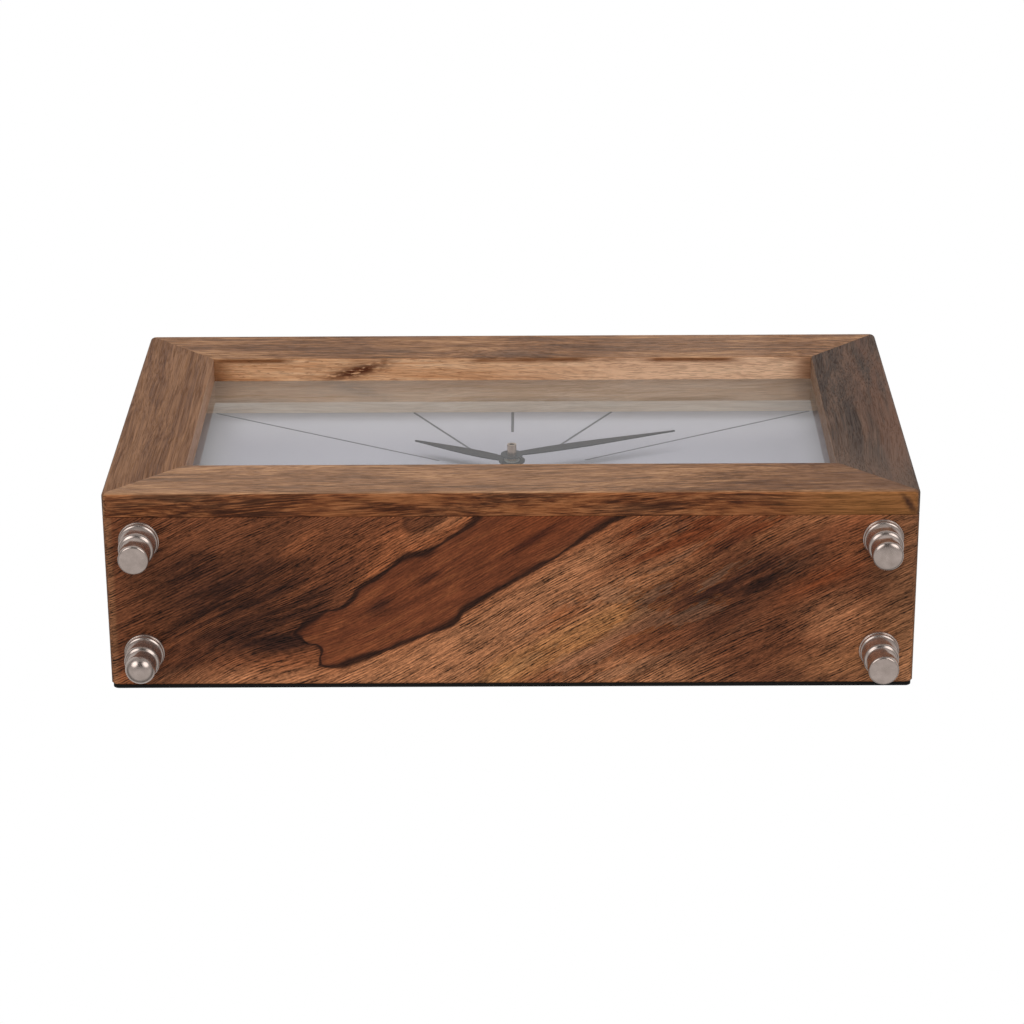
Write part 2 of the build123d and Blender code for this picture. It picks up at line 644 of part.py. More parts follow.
with BuildPart() as coil_bobbin:
    with BuildSketch(COIL_BOTTOM):
        Circle(COIL_RADIUS)
    extrude(amount=COIL_LENGTH)
    with BuildSketch(COIL_BOTTOM, COIL_BOTTOM.offset(COIL_LENGTH - BOBBIN_FLANGE)):
        Rectangle(2 * BOBBIN_RADIUS, 2 * BOBBIN_RADIUS)
    extrude(amount=BOBBIN_FLANGE)
    with BuildSketch(COIL_BOTTOM):
        Rectangle(STATOR_LEG + 2 * CORE_CLEARANCE, STATOR_THICKNESS + 2 * CORE_CLEARANCE)
    extrude(amount=COIL_LENGTH, mode=Mode.SUBTRACT)
keep("coil_bobbin", coil_bobbin)

BOARD_AT = (BOARD_CENTRE_X, TRAIN_BOTTOM + PLATE_CLEARANCE + BOARD_HEIGHT / 2)
SHEET_BACK = PLATE_BACK + BOARD_SHEET
CHIP_AT = (BOARD_AT[0] - BOARD_WIDTH / 4, BOARD_AT[1])
CRYSTAL_LEVEL = MOVEMENT_FRONT + SHEET_BACK + CRYSTAL_RADIUS - DEPTH / 2
CRYSTAL_START = Plane(
    (BOARD_AT[0] + CHIP_WIDTH / 4, CRYSTAL_LEVEL, DIAL_Z + BOARD_AT[1]),
    x_dir=(0, 0, 1),
    z_dir=(1, 0, 0),
)

with BuildPart() as circuit_board:
    with BuildSketch(inside(SHEET_BACK, BOARD_AT)):
        Rectangle(BOARD_WIDTH, BOARD_HEIGHT)
    extrude(amount=BOARD_SHEET)
    with BuildSketch(inside(SHEET_BACK + CHIP_HEIGHT, CHIP_AT)):
        Rectangle(CHIP_WIDTH, CHIP_WIDTH)
    extrude(amount=CHIP_HEIGHT)
keep("circuit_board", circuit_board)

with BuildPart() as quartz_crystal:
    with BuildSketch(CRYSTAL_START):
        Circle(CRYSTAL_RADIUS)
    extrude(amount=CRYSTAL_LENGTH)
keep("quartz_crystal", quartz_crystal)

# Battery across the bay, its nub against a dimpled plate and its base against a sprung leaf
BATTERY_LEVEL = SHELL_WALL + BATTERY_FLOOR_GAP + BATTERY_RADIUS
NUB_END = ROOM_WIDTH / 2 - CONTACT_SHEET - CONTACT_GAP
CAN_END = NUB_END - BATTERY_NUB_LENGTH
BASE_END = NUB_END - BATTERY_LENGTH
BAY_AXIS = Plane(
    (0, MOVEMENT_FRONT + BATTERY_LEVEL - DEPTH / 2, DIAL_Z + BAY_MIDDLE[1]),
    x_dir=(0, 1, 0),
    z_dir=(1, 0, 0),
)

with BuildPart() as battery:
    with BuildSketch(BAY_AXIS.offset(BASE_END)):
        Circle(BATTERY_RADIUS)
    extrude(amount=CAN_END - BASE_END)
    with BuildSketch(BAY_AXIS.offset(CAN_END)):
        Circle(BATTERY_NUB_RADIUS)
    extrude(amount=BATTERY_NUB_LENGTH)
keep("battery", battery)

with BuildPart() as positive_contact:
    with BuildSketch(BAY_AXIS.offset(ROOM_WIDTH / 2 - CONTACT_SHEET)):
        Rectangle(CONTACT_HEIGHT, CONTACT_WIDTH)
    extrude(amount=CONTACT_SHEET)
keep("positive_contact", positive_contact)

LEAF_PLANE = Plane(
    (0, MOVEMENT_FRONT + BATTERY_LEVEL - DEPTH / 2, DIAL_Z + BAY_MIDDLE[1] - CONTACT_WIDTH / 2)
)
LEAF_WALL = CONTACT_SHEET / 2 - ROOM_WIDTH / 2
LEAF_CREST = BASE_END - CONTACT_GAP - CONTACT_SHEET

with BuildPart() as negative_contact:
    with BuildSketch(LEAF_PLANE):
        with BuildLine():
            Polyline(
                (LEAF_WALL, CONTACT_HEIGHT / 2),
                (LEAF_WALL, -CONTACT_HEIGHT / 2),
                (LEAF_CREST, 0),
                (LEAF_WALL + 2 * CONTACT_SHEET, CONTACT_HEIGHT / 2),
            )
        trace(line_width=CONTACT_SHEET)
    extrude(amount=CONTACT_WIDTH)
keep("negative_contact", negative_contact)


# Hands: a slim leaf from a round hub, widest at a share of its length, then tapering to a point
def hand(length, angle, height, hub_radius, bore, belly_share):
    back = DIAL_FRONT - height
    belly = belly_share * length
    taper = (belly + length) / 2
    with BuildPart() as piece:
        with BuildSketch(facing(back, clockwise=angle)):
            with BuildLine():
                Line((0, -HAND_ROOT_WIDTH / 2), (0, HAND_ROOT_WIDTH / 2))
                Spline(
                    (0, HAND_ROOT_WIDTH / 2),
                    (belly, HAND_BELLY_WIDTH / 2),
                    (taper, HAND_TAPER_WIDTH / 2),
                    (length, HAND_POINT_WIDTH / 2),
                )
                Line((length, HAND_POINT_WIDTH / 2), (length, -HAND_POINT_WIDTH / 2))
                Spline(
                    (length, -HAND_POINT_WIDTH / 2),
                    (taper, -HAND_TAPER_WIDTH / 2),
                    (belly, -HAND_BELLY_WIDTH / 2),
                    (0, -HAND_ROOT_WIDTH / 2),
                )
            make_face()
            Circle(hub_radius)
            Circle(bore, mode=Mode.SUBTRACT)
        extrude(amount=HAND_THICKNESS)
    return piece


hour_hand = hand(
    HOUR_HAND_LENGTH, HOUR_HAND_ANGLE, HOUR_HAND_HEIGHT, HOUR_HUB_RADIUS,
    HOUR_TUBE_RADIUS + PRESS_CLEARANCE, HOUR_BELLY_SHARE,
)
keep("hour_hand", hour_hand)
minute_hand = hand(
    MINUTE_HAND_LENGTH, MINUTE_HAND_ANGLE, MINUTE_HAND_HEIGHT, MINUTE_HUB_RADIUS,
    MINUTE_ARBOR_RADIUS + PRESS_CLEARANCE, MINUTE_BELLY_SHARE,
)
keep("minute_hand", minute_hand)
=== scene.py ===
# %% [markdown]
# # A wooden table clock on turned feet
# The clock is a low wooden box that stands on four plated feet. A mitred frame in front holds a glass pane,
# and a white dial with thin hour lines and two black hands lies behind it. The solid model comes first and
# stays where it is: this lesson gives each of its pieces a finish, and adds the few shapes that are finer
# than the solid model. Everything is in metres, with the dial facing along minus Y and the feet on z = 0.

import bpy
import numpy as np
from mathutils import Matrix, Vector


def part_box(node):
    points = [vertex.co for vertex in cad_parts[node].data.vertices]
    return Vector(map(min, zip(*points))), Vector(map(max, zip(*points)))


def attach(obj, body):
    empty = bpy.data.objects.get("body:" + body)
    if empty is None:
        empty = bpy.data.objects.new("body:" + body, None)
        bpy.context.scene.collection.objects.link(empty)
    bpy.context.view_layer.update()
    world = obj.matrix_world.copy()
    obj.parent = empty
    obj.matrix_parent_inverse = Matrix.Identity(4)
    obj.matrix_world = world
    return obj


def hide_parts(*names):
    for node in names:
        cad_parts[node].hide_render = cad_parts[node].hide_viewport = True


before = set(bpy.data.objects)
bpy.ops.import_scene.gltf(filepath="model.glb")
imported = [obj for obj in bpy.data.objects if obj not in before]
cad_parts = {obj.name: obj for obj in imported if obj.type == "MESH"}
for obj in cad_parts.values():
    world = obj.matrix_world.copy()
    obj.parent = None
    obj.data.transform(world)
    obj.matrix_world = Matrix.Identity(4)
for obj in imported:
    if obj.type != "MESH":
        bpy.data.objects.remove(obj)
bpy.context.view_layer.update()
print("solid pieces:", len(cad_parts))

# %% [markdown]
# ## Camera
# The photograph shows the clock lying on its back, seen from in front of its base. In the clock's own frame
# that is a long lens far below and in front of it, looking up. The camera could be aimed with a constraint,
# but a matrix written from its three axes is exact: to the right, up the picture, and back to the lens.

# %% Place the camera
PITCH, YAW, ROLL = np.radians([22.53, -0.406, -0.383])
LENS_PER_SENSOR = 3225.9 / 1024.0
SENSOR = 36.0
CAMERA_AT = Vector((0.00688, -0.40361, -0.89336))


def clock_axis(across, away, up):
    """A direction seen as across, away and up in the photograph, turned to the standing clock's axes."""
    return Vector((float(across), -float(up), float(away)))


level = np.array([np.sin(YAW), np.cos(YAW), 0.0])
plumb = np.array([0.0, 0.0, 1.0])
look = np.cos(PITCH) * level - np.sin(PITCH) * plumb
top = np.sin(PITCH) * level + np.cos(PITCH) * plumb
side = np.cross(look, top)
right = np.cos(ROLL) * side + np.sin(ROLL) * top
top = np.cos(ROLL) * top - np.sin(ROLL) * side

lens = bpy.data.cameras.new("photo_camera")
lens.sensor_fit = "HORIZONTAL"
lens.sensor_width = SENSOR
lens.lens = SENSOR * LENS_PER_SENSOR
lens.clip_end = 50.0
camera = bpy.data.objects.new("photo_camera", lens)
axes = Matrix((clock_axis(*right), clock_axis(*top), -clock_axis(*look))).transposed().to_4x4()
camera.matrix_world = Matrix.Translation(CAMERA_AT) @ axes
bpy.context.scene.collection.objects.link(camera)
bpy.context.scene.camera = camera
print("lens, in millimetres:", round(lens.lens, 1))

# %% [markdown]
# ## Short calls for node materials
# Every finish below is a small network of nodes. A network can be wired by hand in the Shader Editor. In a
# script it reads better with a helper that makes a node, sets it and links it in one call. Colours are
# written as they are read on a screen, and turned to linear light, which Blender works in.

# %% A helper for finishes
SPAN_SOCKETS = ("Value", "From Min", "From Max", "To Min", "To Max")
NOISE_SPAN = (0.3, 0.7)


def tone(red, green, blue):
    """A screen colour from 0 to 255 as linear light: a straight line near black, then a power of 2.4."""
    share = np.array([red, green, blue]) / 255.0
    linear = np.where(share <= 0.04045, share / 12.92, ((share + 0.055) / 1.055) ** 2.4)
    return (*linear.tolist(), 1.0)


def tone_stops(places, tones):
    """Stops for a ramp: places from 0 to 1, each with a screen colour."""
    return [(at, tone(*colour)) for at, colour in zip(places, tones)]


class Wiring:
    """Short calls for the nodes of one tree, which starts out empty. Lengths are in millimetres."""

    def __init__(self, tree):
        self.tree = tree
        self.tree.nodes.clear()

    def node(self, kind, **settings):
        """A new node of that kind with its settings."""
        made = self.tree.nodes.new(kind)
        for name, value in settings.items():
            setattr(made, name, value)
        return made

    def link(self, source, socket):
        """Feeds a socket from another node's output, or writes a plain value into it."""
        if isinstance(source, bpy.types.NodeSocket):
            self.tree.links.new(source, socket)
        else:
            socket.default_value = source

    def turned(self, place, move=(0, 0, 0), turn=(0, 0, 0), scale=(1, 1, 1)):
        """Places scaled, then turned by angles in degrees, then moved."""
        made = self.node("ShaderNodeMapping")
        self.link(place, made.inputs["Vector"])
        made.inputs["Location"].default_value = move
        made.inputs["Rotation"].default_value = np.radians(turn).tolist()
        made.inputs["Scale"].default_value = scale
        return made.outputs[0]

    def parts(self, place):
        """The three coordinates of a place, one socket each."""
        made = self.node("ShaderNodeSeparateXYZ")
        self.link(place, made.inputs[0])
        return made.outputs

    def math(self, operation, first, second=0.0, third=0.0):
        """Two or three numbers put together."""
        made = self.node("ShaderNodeMath", operation=operation)
        for value, socket in zip((first, second, third), made.inputs):
            self.link(value, socket)
        return made.outputs[0]

    def carried(self, value, spans, **settings):
        """A value carried from one span to another; the spans are low and high, start and end."""
        made = self.node("ShaderNodeMapRange", **settings)
        for name, given in zip(SPAN_SOCKETS, (value, *spans)):
            self.link(given, made.inputs[name])
        return made.outputs[0]

    def step(self, value, low, high, start=0.0, end=1.0):
        """A number that eases from start to end as the value goes from low to high."""
        return self.carried(value, (low, high, start, end), interpolation_type="SMOOTHSTEP")

    def scaled(self, value, low, high, start, end):
        """A number carried on a straight line from the span low to high to the span start to end."""
        return self.carried(value, (low, high, start, end), clamp=False)

    def wander(self, noise, start, end):
        """A number that goes from start to end over the middle span of a noise."""
        return self.scaled(noise, *NOISE_SPAN, start, end)

    def noise_node(self, place, size, detail, rough):
        """A noise texture whose blobs measure about size in each direction."""
        made = self.node("ShaderNodeTexNoise")
        self.link(self.turned(place, scale=[1.0 / length for length in size]), made.inputs["Vector"])
        made.inputs["Scale"].default_value = 1.0
        made.inputs["Detail"].default_value = detail
        made.inputs["Roughness"].default_value = rough
        return made

    def noise(self, place, size, detail=2.0, rough=0.5):
        """Smooth noise from 0 to 1 whose blobs measure about size in each direction."""
        return self.noise_node(place, size, detail, rough).outputs[0]

    def swayed(self, place, size, sway):
        """Places pushed aside by up to half of sway in each direction, by noise of that size."""
        push = self.noise_node(place, size, 1.0, 0.5).outputs["Color"]
        centred = self.vector("SUBTRACT", push, (0.5, 0.5, 0.5)).outputs[0]
        return self.vector("MULTIPLY_ADD", centred, sway, place).outputs[0]

    def vector(self, operation, *values):
        """A node that puts vectors together."""
        made = self.node("ShaderNodeVectorMath", operation=operation)
        for value, socket in zip(values, made.inputs):
            self.link(value, socket)
        return made

    def distance(self, place, centre=(0.0, 0.0, 0.0)):
        """How far a place lies from a centre."""
        return self.vector("DISTANCE", place, centre).outputs["Value"]

    def times(self, colour, factor):
        """A colour times a number."""
        made = self.vector("SCALE", colour)
        self.link(factor, made.inputs["Scale"])
        return made.outputs[0]

    def joined(self, *values):
        """A place from its three coordinates."""
        made = self.node("ShaderNodeCombineXYZ")
        for value, socket in zip(values, made.inputs):
            self.link(value, socket)
        return made.outputs[0]

    def ramp(self, value, stops):
        """A colour for each value from 0 to 1, blended between the stops (place, colour)."""
        made = self.node("ShaderNodeValToRGB")
        self.link(value, made.inputs[0])
        marks = made.color_ramp.elements
        marks.remove(marks[1])
        marks[0].position, marks[0].color = stops[0]
        for at, colour in stops[1:]:
            marks.new(at).color = colour
        return made.outputs[0]

    def mix(self, share, first, second):
        """The first colour, going over to the second by a share from 0 to 1."""
        made = self.node("ShaderNodeMix", data_type="RGBA")
        self.link(share, made.inputs[0])
        self.link(first, made.inputs[6])
        self.link(second, made.inputs[7])
        return made.outputs[2]

    def stained(self, colour, share, new, amount=1.0):
        """A colour going over to a screen colour by a share times an amount."""
        return self.mix(self.math("MULTIPLY", share, amount), colour, tone(*new))

    def between(self, noise, dark, light):
        """A colour that goes from one screen colour to another over the middle span of a noise."""
        return self.ramp(noise, tone_stops(NOISE_SPAN, (dark, light)))

    def layered(self, share, first, second):
        """The first shader, going over to the second by a share from 0 to 1."""
        made = self.node("ShaderNodeMixShader")
        for value, socket in zip((share, first, second), made.inputs):
            self.link(value, socket)
        return made.outputs[0]

    def patch(self, place, centre, radii, soft=0.6, turn=0.0):
        """A share that is 1 inside an ellipse in the first two directions and eases to 0 at its rim."""
        moved = self.turned(place, move=(-centre[0], -centre[1], 0.0))
        shrunk = self.turned(moved, turn=(0, 0, turn), scale=(1, 1, 0))
        shrunk = self.turned(shrunk, scale=(1.0 / radii[0], 1.0 / radii[1], 0.0))
        return self.step(self.distance(shrunk), 1.0 - soft, 1.0, 1.0, 0.0)

    def along(self, value, points):
        """A smooth line through points (value, height), as a curve from 0 to 1 and back to lengths."""
        at = np.array(points, float)
        low = at.min(0)
        high = at.max(0)
        made = self.node("ShaderNodeFloatCurve")
        self.link(self.scaled(value, float(low[0]), float(high[0]), 0.0, 1.0), made.inputs["Value"])
        line = made.mapping.curves[0]
        share = (at - low) / (high - low)
        line.points[0].location = share[0]
        line.points[1].location = share[-1]
        for spot in share[1:-1]:
            line.points.new(*spot)
        made.mapping.update()
        return self.scaled(made.outputs[0], 0.0, 1.0, float(low[1]), float(high[1]))


class Finish(Wiring):
    """One material with its shader and the place on the piece that its patterns read."""

    def __init__(self, name):
        self.material = bpy.data.materials.new(name)
        self.material.use_nodes = True
        super().__init__(self.material.node_tree)
        self.output = self.node("ShaderNodeOutputMaterial")
        self.shader = self.node("ShaderNodeBsdfPrincipled")
        self.link(self.shader.outputs[0], self.output.inputs["Surface"])
        self.place = self.turned(self.node("ShaderNodeTexCoord").outputs["Object"], scale=(1000.0,) * 3)

    def set(self, **values):
        """Writes or links the shader's inputs; an underscore stands for a space in an input's name."""
        for name, value in values.items():
            self.link(value, self.shader.inputs[name.replace("_", " ")])

    def bump(self, height, depth, strength=1.0):
        """Small relief on the shader's normal, of that depth."""
        made = self.node("ShaderNodeBump")
        made.inputs["Strength"].default_value = strength
        made.inputs["Distance"].default_value = depth / 1000.0
        self.link(height, made.inputs["Height"])
        self.link(made.outputs[0], self.shader.inputs["Normal"])


def dress(finish, *names):
    """Puts a finish on the solid pieces of those names."""
    for name in names:
        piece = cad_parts[name]
        piece.data.materials.clear()
        piece.data.materials.append(finish.material)
    print("finish", finish.material.name, "on", ", ".join(names))


# %% [markdown]
# ## Wood
# The wood is an oiled, open-grained hardwood. Under a lens it has slow bands from its growth rings, streaks,
# fine fibres, and short dark pores that lie along the grain. An image could be wrapped round each board, but
# noise in three directions, stretched along the grain, runs through the solid as real grain does, so it
# meets round the edges. Each board but the base has the grain along its own length.

# %% Grain shared by all boards
ALONG_X = (0.0, 0.0, 0.0)
ALONG_Z = (0.0, 90.0, 0.0)
GRAIN_STOPS = (0.59, 0.67, 0.72, 0.80)
WOOD_SHINE = 0.17


def grain_marks(finish, place):
    """Bands, streaks, fibres and pores at a place whose first direction lies along the grain."""
    bands = finish.noise(place, (90.0, 7.0, 7.0), detail=4.0, rough=0.62)
    streaks = finish.noise(place, (30.0, 1.5, 1.5), detail=4.0, rough=0.7)
    fibres = finish.noise(place, (10.0, 0.48, 0.48), detail=3.0, rough=0.65)
    crowd = finish.noise(place, (20.0, 3.0, 3.0), detail=2.0)
    spots = finish.noise(place, (5.0, 0.27, 0.27), detail=1.0)
    pores = finish.step(finish.math("MULTIPLY_ADD", crowd, 0.25, spots), 0.64, 0.72)
    return bands, streaks, fibres, pores


def grain_value(finish, bands, streaks, fibres):
    """One number for how light the wood is, with about equal shares of bands, streaks and fibres."""
    value = finish.math("MULTIPLY_ADD", streaks, 0.52, finish.math("MULTIPLY", bands, 0.44))
    return finish.math("MULTIPLY_ADD", fibres, 0.42, value)


def oiled(finish, colour, streaks, fibres, pores, dark=0.3):
    """The satin of oiled wood: pores darker by a share, rougher and a little sunk."""
    shade = finish.math("MULTIPLY_ADD", pores, -dark, 1.0 + 0.25 * dark)
    rough = finish.math("MULTIPLY_ADD", pores, 0.18, finish.wander(streaks, 0.40, 0.50))
    finish.set(Base_Color=finish.times(colour, shade), Roughness=rough, Specular_IOR_Level=WOOD_SHINE)
    finish.bump(finish.math("SUBTRACT", finish.math("MULTIPLY", fibres, 0.4), pores), 0.12, 0.5)


def board(name, turn, tones, tilt=0.0, start=(0.0, 0.0, 0.0), long=1.0):
    """A wood finish with its grain along one axis, tilted a little, its marks moved and drawn out."""
    finish = Finish(name)
    place = finish.turned(finish.turned(finish.place, turn=turn), turn=(0.0, tilt, tilt), move=start)
    place = finish.swayed(place, (70.0, 22.0, 22.0), (0.0, 7.0, 7.0))
    place = finish.turned(place, scale=(1.0 / long, 1.0, 1.0))
    bands, streaks, fibres, pores = grain_marks(finish, place)
    value = grain_value(finish, bands, streaks, fibres)
    colour = finish.ramp(value, tone_stops(GRAIN_STOPS, tones))
    return finish, colour, (streaks, fibres, pores)


# %% [markdown]
# ## Front frame
# Four members meet in mitres. The left stile and both rails are a middle brown, and the right stile was cut
# from darker, greyer heartwood. The sawn inner edge round the glass is much paler. A second set of pieces
# could carry that pale edge, but the finish knows where the opening ends, so a share that is 1 inside the
# opening's line is enough. The bottom rail is blotched underneath, with a short crack at its right end, and
# the top rail has a knot in its sawn edge.

# %% Wood of the frame's members
opening_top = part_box("frame_top")[0].z * 1000.0
opening_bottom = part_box("frame_bottom")[1].z * 1000.0
opening_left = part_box("frame_left")[1].x * 1000.0
opening_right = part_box("frame_right")[0].x * 1000.0
foot_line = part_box("frame_bottom")[0].z * 1000.0
front_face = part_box("frame_top")[0].y * 1000.0
print("opening, wide and high:", round(opening_right - opening_left, 1),
      round(opening_top - opening_bottom, 1))

RAIL_TONES = ((76, 47, 28), (112, 74, 47), (137, 96, 64), (168, 125, 89))
STILE_TONES = ((92, 61, 42), (110, 75, 51), (122, 86, 60), (137, 99, 71))
DARK_TONES = ((54, 40, 33), (67, 51, 41), (80, 61, 50), (97, 75, 62))
STILE_DRAW = 2.8
SAWN_TONES = ((158, 107, 68), (186, 136, 97), (201, 156, 118), (214, 176, 142))
SAWN_STOPS = (0.34, 0.45, 0.55, 0.66)
SAWN_DEPTH = 0.45
SAWN_SOFT = 0.15


def sawn_edge(finish, axis, edge, inward, place):
    """The pale inner edge: a share that rises within a fraction of a millimetre of the opening's line."""
    at = finish.parts(finish.place)
    past = finish.math("MULTIPLY", finish.math("SUBTRACT", at[axis], edge), inward)
    share = finish.step(past, -SAWN_DEPTH - SAWN_SOFT, -SAWN_DEPTH + SAWN_SOFT)
    share = finish.math("MULTIPLY", share, finish.step(at[1], front_face + 0.1, front_face + 0.45))
    bands = finish.noise(place, (60.0, 5.0, 5.0), detail=3.0)
    fibres = finish.noise(place, (14.0, 0.5, 0.5), detail=2.0)
    value = finish.math("MULTIPLY_ADD", fibres, 0.4, finish.math("MULTIPLY", bands, 0.6))
    return share, finish.ramp(value, tone_stops(SAWN_STOPS, SAWN_TONES))


def frame_member(name, turn, tones, axis, edge, inward, tilt=0.0, start=(0.0, 0.0, 0.0), long=1.0):
    """A member of the frame with its face wood and its pale sawn inner edge."""
    finish, colour, marks = board(name, turn, tones, tilt, start, long)
    place = finish.turned(finish.place, turn=turn)
    share, pale = sawn_edge(finish, axis, edge, inward, place)
    return finish, colour, marks, share, pale


# %% Finish the bottom rail
UNDER_STOPS = (0.36, 0.47, 0.56, 0.68)
UNDER_TONES = ((56, 25, 13), (94, 48, 25), (126, 72, 40), (150, 92, 54))
UNDER_SHARE = 0.78
CRACK_AT = (121.4, -28.8)
finish, colour, marks, share, pale = frame_member(
    "frame_bottom_wood", ALONG_X, RAIL_TONES, 2, opening_bottom, 1.0, 2.0)
streaks, fibres, _ = marks
x, y, z = finish.parts(finish.place)
# Painted sheen: the rail's front face goes over to a pale, grey tint, strongest on the left and fading out
# towards the right, standing in for light glancing off the oiled face.
painted_sheen = finish.step(y, front_face + 0.15, front_face + 0.55, 1.0, 0.0)
colour = finish.stained(colour, painted_sheen, (214, 176, 146), finish.step(x, 10.0, 100.0, 0.17, 0.0))
colour = finish.stained(colour, finish.step(x, 50.0, 118.0, 0.0, 0.55), (104, 77, 61))
under = finish.step(z, foot_line + 0.2, foot_line + 0.5, UNDER_SHARE, 0.0)
blotch = finish.noise(finish.place, (34.0, 5.0, 5.0), detail=4.0, rough=0.6)
blotch = finish.math("MULTIPLY_ADD", streaks, 0.5, finish.math("ADD", blotch, -0.75))
blotch = finish.math("ADD", blotch, fibres)
from_dark = finish.math("ABSOLUTE", finish.math("ADD", x, 80.0))
blotch = finish.math("ADD", blotch, finish.step(from_dark, 8.0, 44.0, -0.09, 0.03))
below = finish.ramp(blotch, tone_stops(UNDER_STOPS, UNDER_TONES))
below = finish.stained(below, finish.step(x, 70.0, 110.0, 0.0, 0.6), (146, 98, 48))
frayed = finish.swayed(finish.place, (2.0, 1.5, 1.5), (1.6, 1.0, 0.0))
below = finish.stained(below, finish.patch(frayed, CRACK_AT, (6.0, 1.6), 0.9, turn=-52.0), (50, 22, 10))
colour = finish.mix(under, colour, below)
oiled(finish, finish.mix(share, colour, pale), *marks)
dress(finish, "frame_bottom")

# %% Finish the top rail
KNOT_AT = (-52.5, -28.3)
SMUDGES = (((-40.0, 7.0), (16.0, 4.0)), ((0.0, 5.0), (18.0, 4.0)))
finish, colour, marks, share, pale = frame_member(
    "frame_top_wood", ALONG_X, RAIL_TONES, 2, opening_top, -1.0, -1.5, (40.0, 9.0, 3.0))
x, y, _ = finish.parts(finish.place)
knot = finish.patch(finish.place, KNOT_AT, (19.0, 3.8), 0.9, turn=14.0)
torn = finish.step(finish.noise(finish.place, (3.4, 0.9, 0.9), detail=3.0), 0.32, 0.52)
pale = finish.stained(pale, knot, (78, 36, 16), torn)
flecks = finish.step(finish.noise(finish.place, (3.2, 0.8, 0.8), detail=2.0), 0.60, 0.68)
pale = finish.stained(pale, flecks, (128, 80, 48), 0.45)
upright = finish.turned(finish.place, turn=(-90.0, 0.0, 0.0))
soft = finish.swayed(upright, (12.0, 4.0, 4.0), (6.0, 3.0, 0.0))
for (across, above), radii in SMUDGES:
    smudge = finish.patch(soft, (across, opening_top + above), radii, 1.0)
    colour = finish.stained(colour, smudge, (84, 60, 46), 0.7)
bright = finish.step(x, 20.0, 45.0, 0.0, 0.10)
bright = finish.math("MULTIPLY_ADD", bright, finish.step(x, 80.0, 95.0, 1.0, 0.0), 0.09)
colour = finish.stained(colour, bright, (200, 166, 140))
pale = finish.stained(pale, finish.step(x, -30.0, 60.0, 0.0, 0.5), (222, 188, 160))
sooty = finish.noise(finish.place, (30.0, 30.0, 30.0), detail=2.0)
rim = finish.step(y, front_face + 0.85, front_face + 2.45, 0.95, 0.0)
rim = finish.math("MULTIPLY", rim, finish.step(sooty, 0.36, 0.54))
ends = finish.step(finish.math("ABSOLUTE", x), 92.0, 100.5, 0.0, 0.75)
pale = finish.stained(pale, finish.math("MAXIMUM", rim, ends), (112, 68, 38))
oiled(finish, finish.mix(share, colour, pale), *marks)
dress(finish, "frame_top")

# %% Finish the stiles
STILE_PORES = 0.18
finish, colour, marks, share, pale = frame_member(
    "frame_left_wood", ALONG_Z, STILE_TONES, 0, opening_left, 1.0, 1.0, (11.0, 4.0, 17.0), STILE_DRAW)
pale = finish.stained(pale, 0.6, (190, 150, 126))
oiled(finish, finish.mix(share, colour, pale), *marks, STILE_PORES)
dress(finish, "frame_left")

finish, colour, marks, share, pale = frame_member(
    "frame_right_wood", ALONG_Z, DARK_TONES, 0, opening_right, -1.0, -3.0, (70.0, 31.0, 8.0), STILE_DRAW)
x, _, z = finish.parts(finish.place)
slow = finish.noise(finish.place, (6.0, 6.0, 60.0), detail=3.0)
ruddy = finish.step(x, opening_right + 5.0, opening_right + 20.0)
ruddy = finish.math("MULTIPLY", ruddy, finish.step(slow, 0.4, 0.6))
colour = finish.stained(colour, ruddy, (106, 72, 54), 0.6)
colour = finish.stained(colour, finish.step(z, 36.0, 70.0, 0.45, 0.0), (100, 80, 68))
pale = finish.stained(pale, 0.75, (124, 104, 90))
oiled(finish, finish.mix(share, colour, pale), *marks, STILE_PORES)
dress(finish, "frame_right")

# %% [markdown]
# ## Case boards
# The sides and the top are plain boards of the same wood. The base is the showpiece: its grain runs askew,
# in fine rows, with stains of lighter and darker wood, a small ringed eye on the left, and a reddish island
# with dark, inky outlines across the middle, where two growths met. The island is drawn in the grain's own
# directions, u along and h across, where its two long outlines are almost straight: a smooth curve gives
# the height of each outline at every u, and how far a point lies from that curve says whether it is inside,
# on the dark line, or out. Each stain is an ellipse in one of a few named tones, broken up by streaky noise.

# %% Finish the sides and the top
CASE_TONES = ((92, 58, 36), (112, 73, 46), (127, 85, 54), (146, 101, 66))
finish, colour, marks = board("case_top_wood", ALONG_X, CASE_TONES, 3.0, (15.0, 50.0, 0.0), 1.8)
oiled(finish, colour, *marks, 0.2)
dress(finish, "case_top")
finish, colour, marks = board("case_side_wood", ALONG_Z, CASE_TONES, 2.0, (5.0, 0.0, 30.0))
oiled(finish, colour, *marks, 0.2)
dress(finish, "case_left", "case_right")

# %% Grain of the base
GRAIN_ANGLE = 32.0
GRAIN_BEND = 0.0005
ROW_APART = 0.78


def fine_rows(finish, place):
    """Rows of fine lines along the grain: a sine across it, its phase pushed by noise, fading in and out."""
    push = finish.noise(place, (20.0, 2.6, 2.6), detail=2.0)
    turns = finish.math("MULTIPLY", finish.parts(place)[1], 2.0 * np.pi / ROW_APART)
    phase = finish.math("MULTIPLY_ADD", push, 9.0, turns)
    there = finish.step(finish.noise(place, (8.0, 2.5, 2.5), detail=3.0), 0.36, 0.62, 0.15, 1.0)
    return finish.math("MULTIPLY", finish.math("SINE", phase), there)


